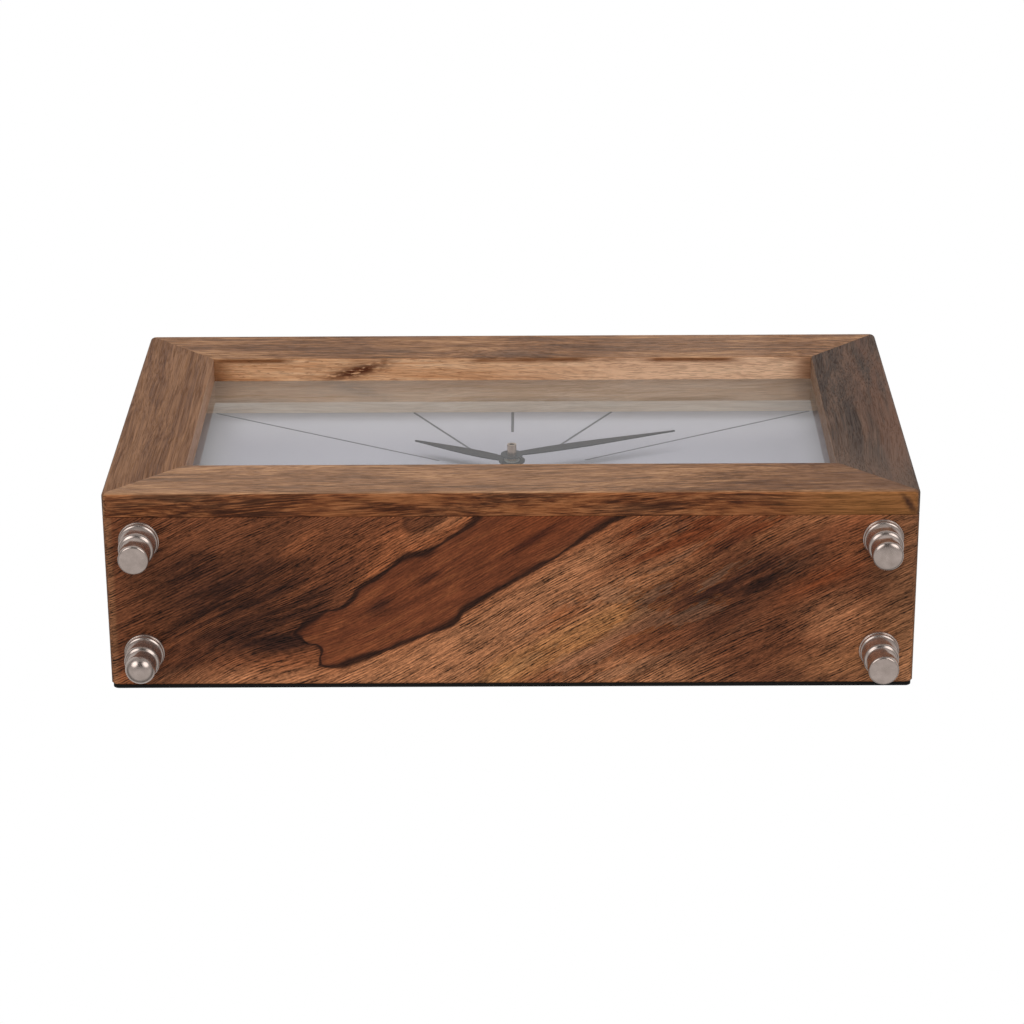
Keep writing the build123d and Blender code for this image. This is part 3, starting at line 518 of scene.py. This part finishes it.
def askew_marks(finish, place):
    """Bands, short streaks, dashes, grit and crowded pores: in a board cut askew no fibre stays for long."""
    bands = finish.noise(place, (90.0, 7.0, 7.0), detail=3.0)
    streaks = finish.noise(place, (11.0, 1.3, 1.3), detail=3.0, rough=0.65)
    dashes = finish.noise(place, (5.0, 0.44, 0.44), detail=2.0, rough=0.7)
    grit = finish.noise(place, (1.4, 0.40, 0.40), detail=1.0)
    crowd = finish.noise(place, (14.0, 5.0, 5.0), detail=2.0)
    spots = finish.noise(place, (3.4, 0.34, 0.34), detail=0.0)
    pores = finish.step(finish.math("MULTIPLY_ADD", crowd, 0.35, spots), 0.66, 0.78)
    value = finish.math("MULTIPLY_ADD", streaks, 0.46, finish.math("MULTIPLY", bands, 0.20))
    value = finish.math("MULTIPLY_ADD", fine_rows(finish, place), 0.095, value)
    value = finish.math("MULTIPLY_ADD", dashes, 0.50, value)
    return streaks, dashes, pores, finish.math("MULTIPLY_ADD", grit, 0.34, value)


finish = Finish("case_bottom_wood")
straight = finish.turned(finish.place, turn=(0.0, 0.0, GRAIN_ANGLE))
u, h, deep = finish.parts(straight)
bow = finish.math("MULTIPLY", finish.math("MULTIPLY", u, finish.math("ABSOLUTE", u)), -GRAIN_BEND)
lift = finish.math("MULTIPLY_ADD", finish.patch(straight, (-88, -26), (44, 26), 1.0), 5.0, bow)
bent = finish.joined(u, finish.math("ADD", h, lift), deep)
place = finish.swayed(bent, (60.0, 26.0, 26.0), (0.0, 5.0, 0.0))
fine = finish.swayed(straight, (7.0, 2.5, 2.5), (0.0, 1.1, 0.0))
streaks, dashes, pores, value = askew_marks(finish, place)
print("grain of the base, in degrees:", GRAIN_ANGLE)

# %% Ground colour and stains of the base
BASE_TONES = {
    "black": (52, 28, 19),
    "deep": (80, 44, 28),
    "rust": (104, 53, 28),
    "brown": (105, 61, 38),
    "chestnut": (121, 70, 43),
    "russet": (135, 79, 48),
    "oak": (148, 97, 63),
    "tan": (159, 105, 71),
    "straw": (178, 122, 74),
}
ACROSS_TONES = ((-90, "brown"), (-46, "brown"), (-38, "chestnut"), (-32, "russet"), (-26, "russet"),
                (-14, "chestnut"), (-4, "russet"), (3, "tan"), (13, "tan"), (22, "oak"), (31, "chestnut"),
                (46, "brown"), (60, "brown"), (74, "oak"), (94, "tan"))
# A stain has a centre, two radii, the softness of its rim, a tone and a strength. The first table is in the
# grain's directions, the second in the clock's own.
GRAIN_STAINS = (
    ((-73, -38), (51, 25), 1.0, "black", 1.3),
    ((-64, -26), (34, 14), 0.9, "black", 1.2),
    ((-84, -20), (30, 10), 0.8, "brown", 1.2),
    ((-44, -46), (15, 6), 0.9, "russet", 0.8),
    ((4, -30.5), (30, 4.5), 0.8, "tan", 0.8),
    ((8, 24), (46, 7), 0.8, "straw", 0.9),
    ((-16, 22), (15, 6), 0.9, "straw", 0.7),
    ((62, 33), (44, 12), 0.8, "black", 1.3),
    ((84, 44), (28, 7), 0.9, "rust", 1.1),
    ((72, 19), (44, 10), 0.9, "rust", 1.3),
    ((-100, -28), (20, 15), 0.9, "deep", 1.2),
    ((54, 10), (40, 11), 0.8, "rust", 1.5),
    ((28, 17), (34, 6), 0.9, "tan", 0.85),
    ((44, 2), (17, 6), 0.9, "rust", 1.2),
    ((40, 24), (20, 6.5), 0.9, "deep", 1.5),
    ((9, 16), (17, 4), 0.9, "russet", 1.2),
    ((64, 22), (16, 6), 0.9, "deep", 1.0),
    ((-38, -32), (17, 5), 0.9, "deep", 1.1),
    ((-50, -1), (17, 4.5), 0.9, "tan", 1.0),
    ((51, 42), (22, 5), 0.9, "black", 1.0),
)
EDGE_STAINS = (
    ((-66, 31), (64, 9), 0.9, "tan", 1.2),
    ((-76, 16.5), (28, 8), 0.9, "black", 1.5),
    ((39, 33), (40, 17), 0.9, "tan", 1.6),
    ((106, -14), (13, 8), 0.9, "russet", 0.9),
    ((102, 10), (20, 14), 0.9, "tan", 1.0),
    ((-100, -6), (17, 13), 0.9, "black", 1.1),
    ((89, 30), (32, 6), 0.9, "deep", 1.0),
)
across_from = ACROSS_TONES[0][0]
across_to = ACROSS_TONES[-1][0]
across = finish.scaled(finish.parts(place)[1], across_from, across_to, 0.0, 1.0)
places = [(at - across_from) / (across_to - across_from) for at, _ in ACROSS_TONES]
tones = [BASE_TONES[name] for _, name in ACROSS_TONES]
colour = finish.ramp(across, tone_stops(places, tones))
broken = finish.noise(place, (22.0, 3.0, 3.0), detail=5.0, rough=0.7)
torn = finish.step(broken, 0.25, 0.72, 0.3, 1.0)
for spot, stains in ((place, GRAIN_STAINS), (finish.place, EDGE_STAINS)):
    for centre, radii, rim, name, strength in stains:
        share = finish.math("MULTIPLY", finish.patch(spot, centre, radii, rim), torn)
        colour = finish.stained(colour, share, BASE_TONES[name], strength)
print("stains on the base:", len(GRAIN_STAINS) + len(EDGE_STAINS))

# %% Lines round the stains, and the eye
EYE_AT = (-77.0, 21.0)
EYE_LONG = 2.7
EYE_RINGS = 1.7
map_noise = finish.noise(place, (26.0, 7.0, 7.0), detail=5.0, rough=0.6)
zone = finish.patch(straight, (26, 26), (80, 34), 0.8)
stain = finish.math("MULTIPLY", finish.step(map_noise, 0.52, 0.56), zone)
colour = finish.stained(colour, stain, (126, 96, 74), 0.30)
shore = finish.step(finish.math("ABSOLUTE", finish.math("ADD", map_noise, -0.53)), 0.0, 0.02, 0.5, 0.0)
colour = finish.stained(colour, shore, (112, 62, 26), zone)

from_eye = finish.turned(finish.place, move=(-EYE_AT[0], -EYE_AT[1], 0.0))
from_eye = finish.swayed(from_eye, (16.0, 6.0, 6.0), (5.0, 2.4, 0.0))
shrunk = finish.turned(from_eye, turn=(0.0, 0.0, 8.0), scale=(1.0 / EYE_LONG, 1.0, 0.0))
ring = finish.distance(shrunk)
wave = finish.math("SINE", finish.math("MULTIPLY", ring, 2.0 * np.pi / EYE_RINGS))
eye = finish.math("MULTIPLY", wave, finish.step(ring, 4.0, 11.0, 1.0, 0.0))
print("eye of the base at:", EYE_AT)

# %% The island
ISLAND_ABOVE = ((-66, -21.5), (-54, -24.9), (-46, -23.2), (-39.6, -25.3), (-29, -26.0), (-21.6, -26.8),
                (-14, -24.8), (-6, -25.0), (0, -25.2), (5, -26.4), (20, -28.0))
ISLAND_BELOW = ((-66, -12.0), (-63.7, -10.2), (-59.6, -7.2), (-52.6, -5.7), (-44.6, -4.0), (-34.4, -2.4),
                (-26.3, -1.0), (-20.7, -0.4), (-16.6, -2.2), (-10.3, -2.8), (6, -2.5), (18.7, -2.5),
                (36, -3.3), (45, -2.1))
ISLAND_END = ((-24, -65.0), (-22.5, -64.2), (-18.9, -63.2), (-15.1, -60.4), (-12.5, -62.5), (-9, -64.5))
ISLAND_STOPS = (0.32, 0.5, 0.66)
ISLAND_TONES = ((80, 40, 23), (106, 55, 32), (130, 74, 43))
u, h, _ = finish.parts(fine)
from_above = finish.math("SUBTRACT", h, finish.along(u, ISLAND_ABOVE))
from_below = finish.math("SUBTRACT", finish.along(u, ISLAND_BELOW), h)
from_end = finish.math("SUBTRACT", u, finish.along(h, ISLAND_END))
depth_in = finish.math("MINIMUM", finish.math("MINIMUM", from_above, from_below), from_end)
inside = finish.step(depth_in, -0.4, 0.6)
island = finish.ramp(broken, tone_stops(ISLAND_STOPS, ISLAND_TONES))
for spot, centre, radii, rim, dark in ((straight, (26, -15), (40, 12), 1.0, (114, 57, 30)),
                                       (fine, (14, -11), (18, 2.2), 0.9, (60, 24, 14)),
                                       (fine, (-37, -17.5), (7, 2.6), 0.9, (62, 31, 21)),
                                       (fine, (-19, -17.2), (7, 1.3), 0.9, (58, 28, 18))):
    island = finish.stained(island, finish.patch(spot, centre, radii, rim), dark)
colour = finish.mix(finish.math("MULTIPLY", inside, 0.9), colour, island)

islet = finish.patch(fine, (-9.0, -35.0), (9.6, 5.0), 0.35)
colour = finish.stained(colour, islet, (50, 26, 16), 0.85)
core = finish.patch(fine, (-8.4, -35.2), (8.2, 3.9), 0.35)
colour = finish.stained(colour, core, (100, 58, 36), 0.9)

thick = finish.step(finish.noise(straight, (12.0, 5.0, 5.0), detail=2.0), 0.35, 0.65, 0.4, 1.5)
ink = finish.step(finish.math("DIVIDE", finish.math("ABSOLUTE", depth_in), thick), 0.3, 1.4, 1.0, 0.0)
halo = finish.step(finish.math("ABSOLUTE", finish.math("ADD", depth_in, -0.4)), 0.0, 2.6, 0.4, 0.0)
colour = finish.stained(colour, halo, (74, 38, 24))
colour = finish.stained(colour, ink, (34, 17, 11), 0.9)
print("points on the island's outline:", len(ISLAND_ABOVE) + len(ISLAND_BELOW) + len(ISLAND_END))

# %% Put the base together
ISLAND_CALM = 0.52
ISLAND_PORES = 0.25
x = finish.parts(finish.place)[0]
# Lighter over the last millimetres of the rounded left edge, a painted sheen where that edge catches the
# light, and lighter towards the right end.
ends = finish.math("ADD", finish.step(x, -123.2, -121.6, 0.55, 0.0), finish.step(x, 106.0, 122.0, 0.0, 0.5))
colour = finish.stained(colour, ends, (136, 94, 64))
calm = finish.scaled(inside, 0.0, 1.0, 1.0, ISLAND_CALM)
spread = finish.math("MULTIPLY", finish.scaled(value, 0.65, 0.85, -0.5, 0.5), calm)
spread = finish.math("MULTIPLY_ADD", eye, 0.17, spread)
colour = finish.times(colour, finish.math("ADD", spread, 1.0))
pores = finish.math("MULTIPLY", pores, finish.scaled(inside, 0.0, 1.0, 1.0, ISLAND_PORES))
oiled(finish, colour, streaks, dashes, pores, 0.17)
dress(finish, "case_bottom")

# %% [markdown]
# ## Strips and boards behind the glass
# Pale sawn strips stand between glass and dial, and the dial lies on a thin board held by four blocks. They
# are raw wood: no oil, so no shine, and a lighter, yellower colour.

# %% Finish the raw wood
STRIP_TONES = ((217, 191, 164), (228, 203, 177), (235, 212, 189), (240, 220, 198))
RAW_BOARDS = (
    ("strip_wood_along", ALONG_X, STRIP_TONES, ("spacer_top", "spacer_bottom")),
    ("strip_wood_upright", ALONG_Z, STRIP_TONES, ("spacer_left", "spacer_right")),
    ("board_wood", ALONG_X, SAWN_TONES, ("dial_board", "corner_blocks")),
)
for name, turn, tones, nodes in RAW_BOARDS:
    finish, colour, marks = board(name, turn, tones, 1.0, (3.0, 12.0, 5.0), 1.6)
    oiled(finish, colour, *marks, 0.1)
    dress(finish, *nodes)

# %% [markdown]
# ## Glass
# The pane is clear, so it could be a refracting glass shader. That would keep the lamps' light off the dial,
# or need many samples. A pane this thin hardly bends what is behind it, so it is a transparent shader with
# mirror gloss laid over its outer side. One face of glass mirrors r, which is 4 hundredths head on and more
# by the fifth power of the slant, and both faces together mirror 2 r / (1 + r).

# %% Finish the glass
HEAD_ON = 0.04
finish = Finish("clear_glass")
finish.tree.nodes.remove(finish.shader)
clear = finish.node("ShaderNodeBsdfTransparent")
smear = finish.noise(finish.place, (60.0, 60.0, 60.0), detail=2.0)
finish.link(finish.between(smear, (251, 252, 252), (253, 254, 254)), clear.inputs["Color"])
gloss = finish.node("ShaderNodeBsdfGlossy")
gloss.inputs["Roughness"].default_value = 0.02
slant = finish.node("ShaderNodeLayerWeight")
slant.inputs["Blend"].default_value = 0.5
outside = finish.math("SUBTRACT", 1.0, finish.node("ShaderNodeNewGeometry").outputs["Backfacing"])
fifth_power = finish.math("POWER", slant.outputs["Facing"], 5.0)
one_face = finish.math("MULTIPLY_ADD", fifth_power, 1.0 - HEAD_ON, HEAD_ON)
mirrored = finish.math("DIVIDE", finish.math("MULTIPLY", one_face, 2.0), finish.math("ADD", one_face, 1.0))
pane = finish.layered(finish.math("MULTIPLY", mirrored, outside), clear.outputs[0], gloss.outputs[0])
finish.link(pane, finish.output.inputs["Surface"])
dress(finish, "glass_pane")

# %% [markdown]
# ## Dial and hour lines
# The dial is a printed sheet, white and matt. Its colour is painted a little lighter towards the top and the
# two sides: painted light against the shade of the deep recess. The twelve hour lines are print as well.
# They could be drawn in the material, but as thin strips of their own they stay sharp at any distance. Each
# one is
# a small bar carried along a spoke: from its inner radius out to the edge of the dial's white field.

# %% Finish the dial
finish = Finish("dial_paper")
cloud = finish.noise(finish.place, (70.0, 70.0, 70.0), detail=2.0)
tooth = finish.noise(finish.place, (0.4, 0.4, 0.4), detail=2.0)
paper = finish.between(cloud, (183, 179, 188), (189, 185, 194))
x, _, z = finish.parts(finish.place)
# Painted light: the paper goes over to a paler tint at the top and at the two side edges, where the frame
# and strips shade the recess.
lighter = finish.step(z, 112.0, 140.0, 0.0, 0.7)
lighter = finish.math("MAXIMUM", lighter, finish.step(x, -103.0, -90.0, 0.8, 0.0))
lighter = finish.math("MAXIMUM", lighter, finish.step(x, 90.0, 103.0, 0.0, 0.4))
finish.set(Base_Color=finish.stained(paper, lighter, (216, 212, 218)),
           Roughness=finish.wander(tooth, 0.62, 0.78))
finish.bump(tooth, 0.02, 0.3)
dress(finish, "dial_face")

# %% Make the hour lines
LINE_START = np.full(12, 0.028)
LINE_START[0] = 0.040
LINE_WIDTH = np.tile([0.95, 0.85, 0.62, 0.62, 0.62, 0.85], 2) / 1000.0
LINE_RISE = 0.00006
LINE_MARGIN = 0.0003
dial_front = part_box("dial_face")[0].y
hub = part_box("minute_arbor")
HUB_X = 0.5 * (hub[0].x + hub[1].x)
HUB_Z = 0.5 * (hub[0].z + hub[1].z)
HALF_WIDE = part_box("spacer_right")[0].x - HUB_X - LINE_MARGIN
HALF_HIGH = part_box("spacer_top")[0].z - HUB_Z - LINE_MARGIN


def mesh_piece(name, verts, faces, material):
    """A mesh object at the origin from whole arrays of corners and faces."""
    mesh = bpy.data.meshes.new(name)
    mesh.from_pydata(np.asarray(verts).tolist(), [], [list(face) for face in faces])
    mesh.update()
    mesh.materials.append(material)
    piece = bpy.data.objects.new(name, mesh)
    bpy.context.scene.collection.objects.link(piece)
    return piece


def hour_line_bars(angles, start, width):
    """Bars on spokes: a place is radius times the spoke, plus half the width sideways, plus the rise.

    The outer radius is where the spoke meets the rectangle of the dial's white field."""
    spoke = np.stack([np.sin(angles), np.cos(angles)], 1)
    aside = np.stack([np.cos(angles), -np.sin(angles)], 1)
    reach = np.minimum(HALF_WIDE / np.maximum(np.abs(spoke[:, 0]), 1e-9),
                       HALF_HIGH / np.maximum(np.abs(spoke[:, 1]), 1e-9))
    radius = np.stack([start, reach], 1)
    half = 0.5 * width
    flat = (radius[:, :, None, None] * spoke[:, None, None, :]
            + (half[:, None] * np.array([-1.0, 1.0]))[:, None, :, None] * aside[:, None, None, :])
    depth = dial_front - LINE_RISE * np.array([0.0, 1.0])
    verts = np.empty((len(angles), 2, 2, 2, 3))
    verts[..., 0] = HUB_X + flat[..., None, 0]
    verts[..., 1] = depth
    verts[..., 2] = HUB_Z + flat[..., None, 1]
    box = np.array([[0, 2, 6, 4], [1, 5, 7, 3], [0, 1, 3, 2], [4, 6, 7, 5], [0, 4, 5, 1], [2, 3, 7, 6]])
    faces = (box[None] + 8 * np.arange(len(angles))[:, None, None]).reshape(-1, 4)
    return verts.reshape(-1, 3), faces, reach


finish = Finish("line_print")
dust = finish.noise(finish.place, (1.5, 1.5, 1.5), detail=2.0)
finish.set(Base_Color=finish.between(dust, (98, 96, 99), (112, 110, 113)),
           Roughness=finish.wander(dust, 0.5, 0.65))
verts, faces, reach = hour_line_bars(np.radians(30.0 * np.arange(12)), LINE_START, LINE_WIDTH)
hour_lines = mesh_piece("hour_lines", verts, faces, finish.material)
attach(hour_lines, "case")
print("hour lines reach, in millimetres:", np.round(reach * 1000.0, 1).tolist())

# %% [markdown]
# ## Hands and the hollow pin
# The hands are thin pressed metal, lacquered black with a soft shine. The pin in the middle is the end of
# the minute arbor, in brass. Fine noise in the roughness keeps both from looking like plain plastic.

# %% Finish the hands and the brass


def speckled(name, dark, light, size, rough, metal=0.0, relief=0.0, shine=0.5):
    """A finish whose colour and roughness wander between two values by noise of that size."""
    finish = Finish(name)
    cloud = finish.noise(finish.place, size, detail=3.0)
    finish.set(Base_Color=finish.between(cloud, dark, light), Roughness=finish.wander(cloud, *rough),
               Metallic=metal, Specular_IOR_Level=shine)
    if relief:
        finish.bump(cloud, relief, 0.4)
    return finish


dress(speckled("hand_lacquer", (21, 21, 25), (33, 32, 37), (6.0, 0.6, 6.0), (0.32, 0.46)),
      "hour_hand", "minute_hand")
dress(speckled("turned_brass", (208, 180, 154), (228, 204, 182), (0.5, 4.0, 0.5), (0.26, 0.42), 1.0),
      "minute_arbor", "bush_nut")

# %% [markdown]
# ## Turned feet
# Each foot was turned on a lathe and plated: a grooved flange against the wood, a cove, a rounded bead, a
# waisted neck and a short drum with an eased rim. A modelled profile with a Screw modifier would do, but a
# profile as an array, carried round a circle, gives the same shape in one step. Two feet end flat, one is
# slightly crowned and one ends in a dome.

# %% Make the feet
AROUND = 72
MM = 0.001
FLAT = 0.0
CROWNED = 1.5
DOMED = 3.5
foot_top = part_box("case_bottom")[0].z


def arc(centre, radius, start, end, count):
    """Points of an arc as (depth, radius): the centre plus the radius times cosine and sine."""
    angle = np.radians(np.linspace(start, end, count))
    return np.stack([centre[0] + radius * np.cos(angle), centre[1] + radius * np.sin(angle)], 1)


def foot_profile(crown):
    """Depth below the wood and radius down the foot, in millimetres, from axis to axis.

    The drum ends flat, or in half an ellipse as high as the crown."""
    down = np.linspace(0.0, 1.0, 12)[1:]
    cove = np.stack([2.75 + 3.1 * down, 4.6 + 1.0 * (1.0 - down) ** 2], 1)
    neck = np.stack([8.65 + 2.55 * down, 3.95 + 0.6 * (1.0 - down) ** 2], 1)
    drum = [arc((12.25, 4.3), 0.4, 180, 90, 6)]
    if crown:
        angle = np.radians(np.linspace(0, 90, 20))
        drum.append(np.stack([16.0 - crown + crown * np.sin(angle), 4.7 * np.cos(angle)], 1))
    else:
        drum.append(arc((15.2, 3.9), 0.8, 90, 0, 9))
        drum.append(np.array([[16.0, 2.6], [16.0, 1.3], [16.0, 0.0]]))
    return np.concatenate([
        [[0.0, 0.0], [0.0, 3.0]], arc((0.25, 6.05), 0.25, 180, 90, 5), arc((0.95, 6.05), 0.25, 90, 0, 6),
        [[1.25, 5.75]], arc((2.0, 5.4), 0.7, 160, 20, 13),
        cove, arc((7.25, 4.15), 1.4, 160, 20, 17), neck, [[11.6, 3.95]], *drum])


def lathe(profile, centre):
    """A closed turned surface: radius times cosine and sine round the axis, the depth straight down."""
    angle = np.linspace(0.0, 2.0 * np.pi, AROUND, endpoint=False)
    depth, radius = profile[1:-1].T
    rings = np.empty((len(depth), AROUND, 3))
    rings[..., 0] = centre[0] + MM * radius[:, None] * np.cos(angle)
    rings[..., 1] = centre[1] + MM * radius[:, None] * np.sin(angle)
    rings[..., 2] = foot_top - MM * depth[:, None]
    ends = np.array([[*centre, foot_top - MM * profile[0, 0]], [*centre, foot_top - MM * profile[-1, 0]]])
    verts = np.concatenate([rings.reshape(-1, 3), ends])
    index = np.arange(len(depth) * AROUND).reshape(len(depth), AROUND)
    beside = np.roll(index, -1, 1)
    quads = np.stack([index[:-1], index[1:], beside[1:], beside[:-1]], -1).reshape(-1, 4)
    first = np.stack([np.full(AROUND, len(verts) - 2), index[0], beside[0]], -1)
    last = np.stack([np.full(AROUND, len(verts) - 1), beside[-1], index[-1]], -1)
    return verts, quads.tolist() + first.tolist() + last.tolist()


def pair_of_feet(name, node, profiles):
    """Two feet as one piece, at the two ends of the solid pair's box."""
    low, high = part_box(node)
    middle = 0.5 * (low.y + high.y)
    reach = 0.5 * (high.y - low.y)
    verts_left, faces_left = lathe(profiles[0], (low.x + reach, middle))
    verts_right, faces_right = lathe(profiles[1], (high.x - reach, middle))
    moved = [[corner + len(verts_left) for corner in face] for face in faces_right]
    verts = np.concatenate([verts_left, verts_right])
    piece = mesh_piece(name, verts, faces_left + moved, plated.material)
    piece.data.shade_smooth()
    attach(piece, "case")
    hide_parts(node)
    print(name, "faces:", len(piece.data.polygons))


plated = Finish("plated_nickel")
cloud = plated.noise(plated.place, (3.0, 3.0, 1.2), detail=3.0)
fine_lines = plated.noise(plated.place, (2.0, 2.0, 0.12), detail=1.0)
plated.set(Base_Color=plated.between(cloud, (190, 174, 165), (214, 197, 188)),
           Roughness=plated.wander(fine_lines, 0.14, 0.26), Metallic=0.92)
pair_of_feet("front_feet_turned", "front_feet", (foot_profile(FLAT), foot_profile(CROWNED)))
pair_of_feet("rear_feet_turned", "rear_feet", (foot_profile(DOMED), foot_profile(FLAT)))

# %% [markdown]
# ## Back and movement
# From behind, the clock shows a thin black back with an opening, and in it the square plastic movement with
# its setting knob and battery. Moulded plastic has a fine spark texture, pressed steel has brushed lines,
# and the coil shows its turns of wire.

# %% Finish the back and the movement
dress(speckled("painted_back", (18, 17, 17), (27, 26, 25), (0.9, 0.9, 0.9), (0.6, 0.76),
               relief=0.08, shine=0.12), "back_cover")
dress(speckled("moulded_black", (22, 22, 23), (31, 31, 32), (0.5, 0.5, 0.5), (0.42, 0.58), relief=0.05),
      "movement_front_shell", "movement_back_shell", "train_plate")
dress(speckled("moulded_white", (212, 208, 196), (228, 225, 216), (2.0, 2.0, 2.0), (0.36, 0.48),
               relief=0.02),
      "motion_wheel", "hour_wheel", "fifth_wheel", "fourth_wheel", "third_wheel", "centre_wheel",
      "rotor_pinion", "setting_arbor")
dress(speckled("moulded_grey", (120, 120, 122), (138, 138, 140), (0.6, 0.6, 0.6), (0.40, 0.55), relief=0.04),
      "setting_knob")
dress(speckled("gasket_rubber", (24, 24, 24), (36, 35, 34), (1.2, 1.2, 1.2), (0.75, 0.9), relief=0.04),
      "movement_gasket")
dress(speckled("magnet_grey", (70, 70, 74), (92, 92, 96), (0.4, 0.4, 0.4), (0.35, 0.5), 1.0), "rotor_magnet")
dress(speckled("pressed_steel", (150, 151, 154), (180, 181, 184), (6.0, 0.3, 0.3), (0.26, 0.42), 1.0),
      "stator_plate", "positive_contact", "negative_contact", "quartz_crystal")
dress(speckled("coil_wire", (142, 78, 44), (186, 110, 66), (0.2, 6.0, 6.0), (0.30, 0.44), 0.8, 0.1),
      "coil_bobbin")
dress(speckled("circuit_lacquer", (24, 74, 46), (34, 92, 58), (2.5, 2.5, 2.5), (0.30, 0.44)),
      "circuit_board")

# %% Finish the battery
JACKET_STOPS = (0.0, 0.695, 0.705, 1.0)
JACKET_TONES = ((42, 44, 50), (48, 50, 56), (176, 110, 58), (184, 118, 64))
battery_low, battery_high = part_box("battery")
finish = Finish("battery_jacket")
length = np.array(battery_high - battery_low)
axis = int(length.argmax())
from_low = finish.math("SUBTRACT", finish.parts(finish.place)[axis], battery_low[axis] * 1000.0)
share = finish.math("DIVIDE", from_low, float(length[axis] * 1000.0))
scuff = finish.noise(finish.place, (5.0, 5.0, 5.0), detail=3.0)
ends = finish.math("ADD", finish.step(share, 0.018, 0.02, 1.0, 0.0), finish.step(share, 0.965, 0.967))
bands = finish.ramp(share, tone_stops(JACKET_STOPS, JACKET_TONES))
finish.set(Base_Color=finish.stained(bands, ends, (176, 176, 178)), Metallic=ends,
           Roughness=finish.wander(scuff, 0.28, 0.42))
dress(finish, "battery")

# %% [markdown]
# ## Floor, light and surroundings
# The clock stands on a pale floor, but the photograph's view comes from below it. The floor is therefore
# seen only from above: from below, and for light on its way to the clock, it is clear. The surroundings are
# white to the camera. Reflections see a duller ceiling and a dim wall with two bright windows and a dark gap
# between them, which gives the plated feet their dark and bright lines. As light they are even, and three
# broad soft suns model the form: one in front, one from the side of the camera, and one above and behind.

# %% Make the floor
FLOOR_HALF = 3.0
FLOOR_AT = -0.0002
corners = np.array([[-1, -1], [1, -1], [1, 1], [-1, 1]]) * FLOOR_HALF
floor_verts = np.column_stack([corners, np.full(4, FLOOR_AT)])
finish = Finish("floor_paint")
speck = finish.noise(finish.place, (40.0, 40.0, 40.0), detail=2.0)
finish.set(Base_Color=finish.between(speck, (236, 236, 236), (240, 240, 240)), Roughness=0.9)
path = finish.node("ShaderNodeLightPath")
facing = finish.node("ShaderNodeNewGeometry")
seen = finish.math("MULTIPLY", path.outputs["Is Camera Ray"],
                   finish.math("SUBTRACT", 1.0, facing.outputs["Backfacing"]))
clear = finish.node("ShaderNodeBsdfTransparent")
shown = finish.layered(seen, clear.outputs[0], finish.shader.outputs[0])
finish.link(shown, finish.output.inputs["Surface"])
floor = mesh_piece("floor", floor_verts, [[0, 1, 2, 3]], finish.material)

# %% Make the surroundings
AROUND_LIGHT = 0.42
ABOVE_MIRRORED = 0.57
WINDOW_AT = (0.56, -0.52, -0.58)
WINDOW_LIGHT = 1.8
GAP_AT = (0.0, -0.62, -0.78)
GAP_LIGHT = 0.05
world = bpy.data.worlds.new("studio")
bpy.context.scene.world = world
world.use_nodes = True
studio = Wiring(world.node_tree)
lighting = studio.node("ShaderNodeBackground")
lighting.inputs["Color"].default_value = (1.0, 0.99, 0.98, 1.0)
lighting.inputs["Strength"].default_value = AROUND_LIGHT
white = studio.node("ShaderNodeBackground")
white.inputs["Color"].default_value = (1.0, 1.0, 1.0, 1.0)
path = studio.node("ShaderNodeLightPath").outputs
aim = studio.parts(studio.node("ShaderNodeTexCoord").outputs["Generated"])
folded = studio.joined(studio.math("ABSOLUTE", aim[0]), aim[1], aim[2])
off_window = studio.distance(folded, WINDOW_AT)
off_gap = studio.distance(folded, GAP_AT)
low = studio.step(aim[2], 0.1, 0.4, 1.0, 0.0)
behind = studio.step(aim[2], -0.4, -0.05, 0.54, 0.16)
wall = studio.step(aim[1], -0.35, 0.3, 0.28, behind)
wall = studio.math("MULTIPLY", wall, studio.step(off_gap, 0.18, 0.55, GAP_LIGHT, 1.0))
window = studio.step(off_window, 0.20, 0.44, WINDOW_LIGHT, 0.0)
below = studio.math("ADD", studio.math("ADD", wall, window), -ABOVE_MIRRORED)
shade = studio.math("MULTIPLY_ADD", low, below, ABOVE_MIRRORED - 1.0)
studio.link(studio.math("MULTIPLY_ADD", path["Is Glossy Ray"], shade, 1.0), white.inputs["Strength"])
seen = studio.math("MAXIMUM", path["Is Camera Ray"], path["Is Glossy Ray"])
seen = studio.math("MAXIMUM", seen, path["Is Transmission Ray"])
output = studio.node("ShaderNodeOutputWorld")
studio.link(studio.layered(seen, lighting.outputs[0], white.outputs[0]), output.inputs["Surface"])
print("light from all around:", AROUND_LIGHT)

# %% Set the suns


def soft_sun(name, from_where, share, width):
    """A broad sun: a white surface facing it gains that share of full white."""
    lamp = bpy.data.lights.new(name, "SUN")
    lamp.energy = np.pi * share
    lamp.angle = np.radians(width)
    sun = bpy.data.objects.new(name, lamp)
    sun.rotation_mode = "QUATERNION"
    sun.rotation_quaternion = Vector(from_where).to_track_quat("Z", "Y")
    sun.visible_glossy = False
    bpy.context.scene.collection.objects.link(sun)
    print(name, "adds", share)


soft_sun("front_sun", (-0.1, -1.0, -0.4), 0.60, 40.0)
soft_sun("low_sun", (0.15, -0.45, -1.0), 0.26, 40.0)
soft_sun("back_sun", (0.35, 0.7, 1.0), 0.50, 50.0)

# %% Finish the scene
bpy.context.scene.view_settings.view_transform = "Standard"
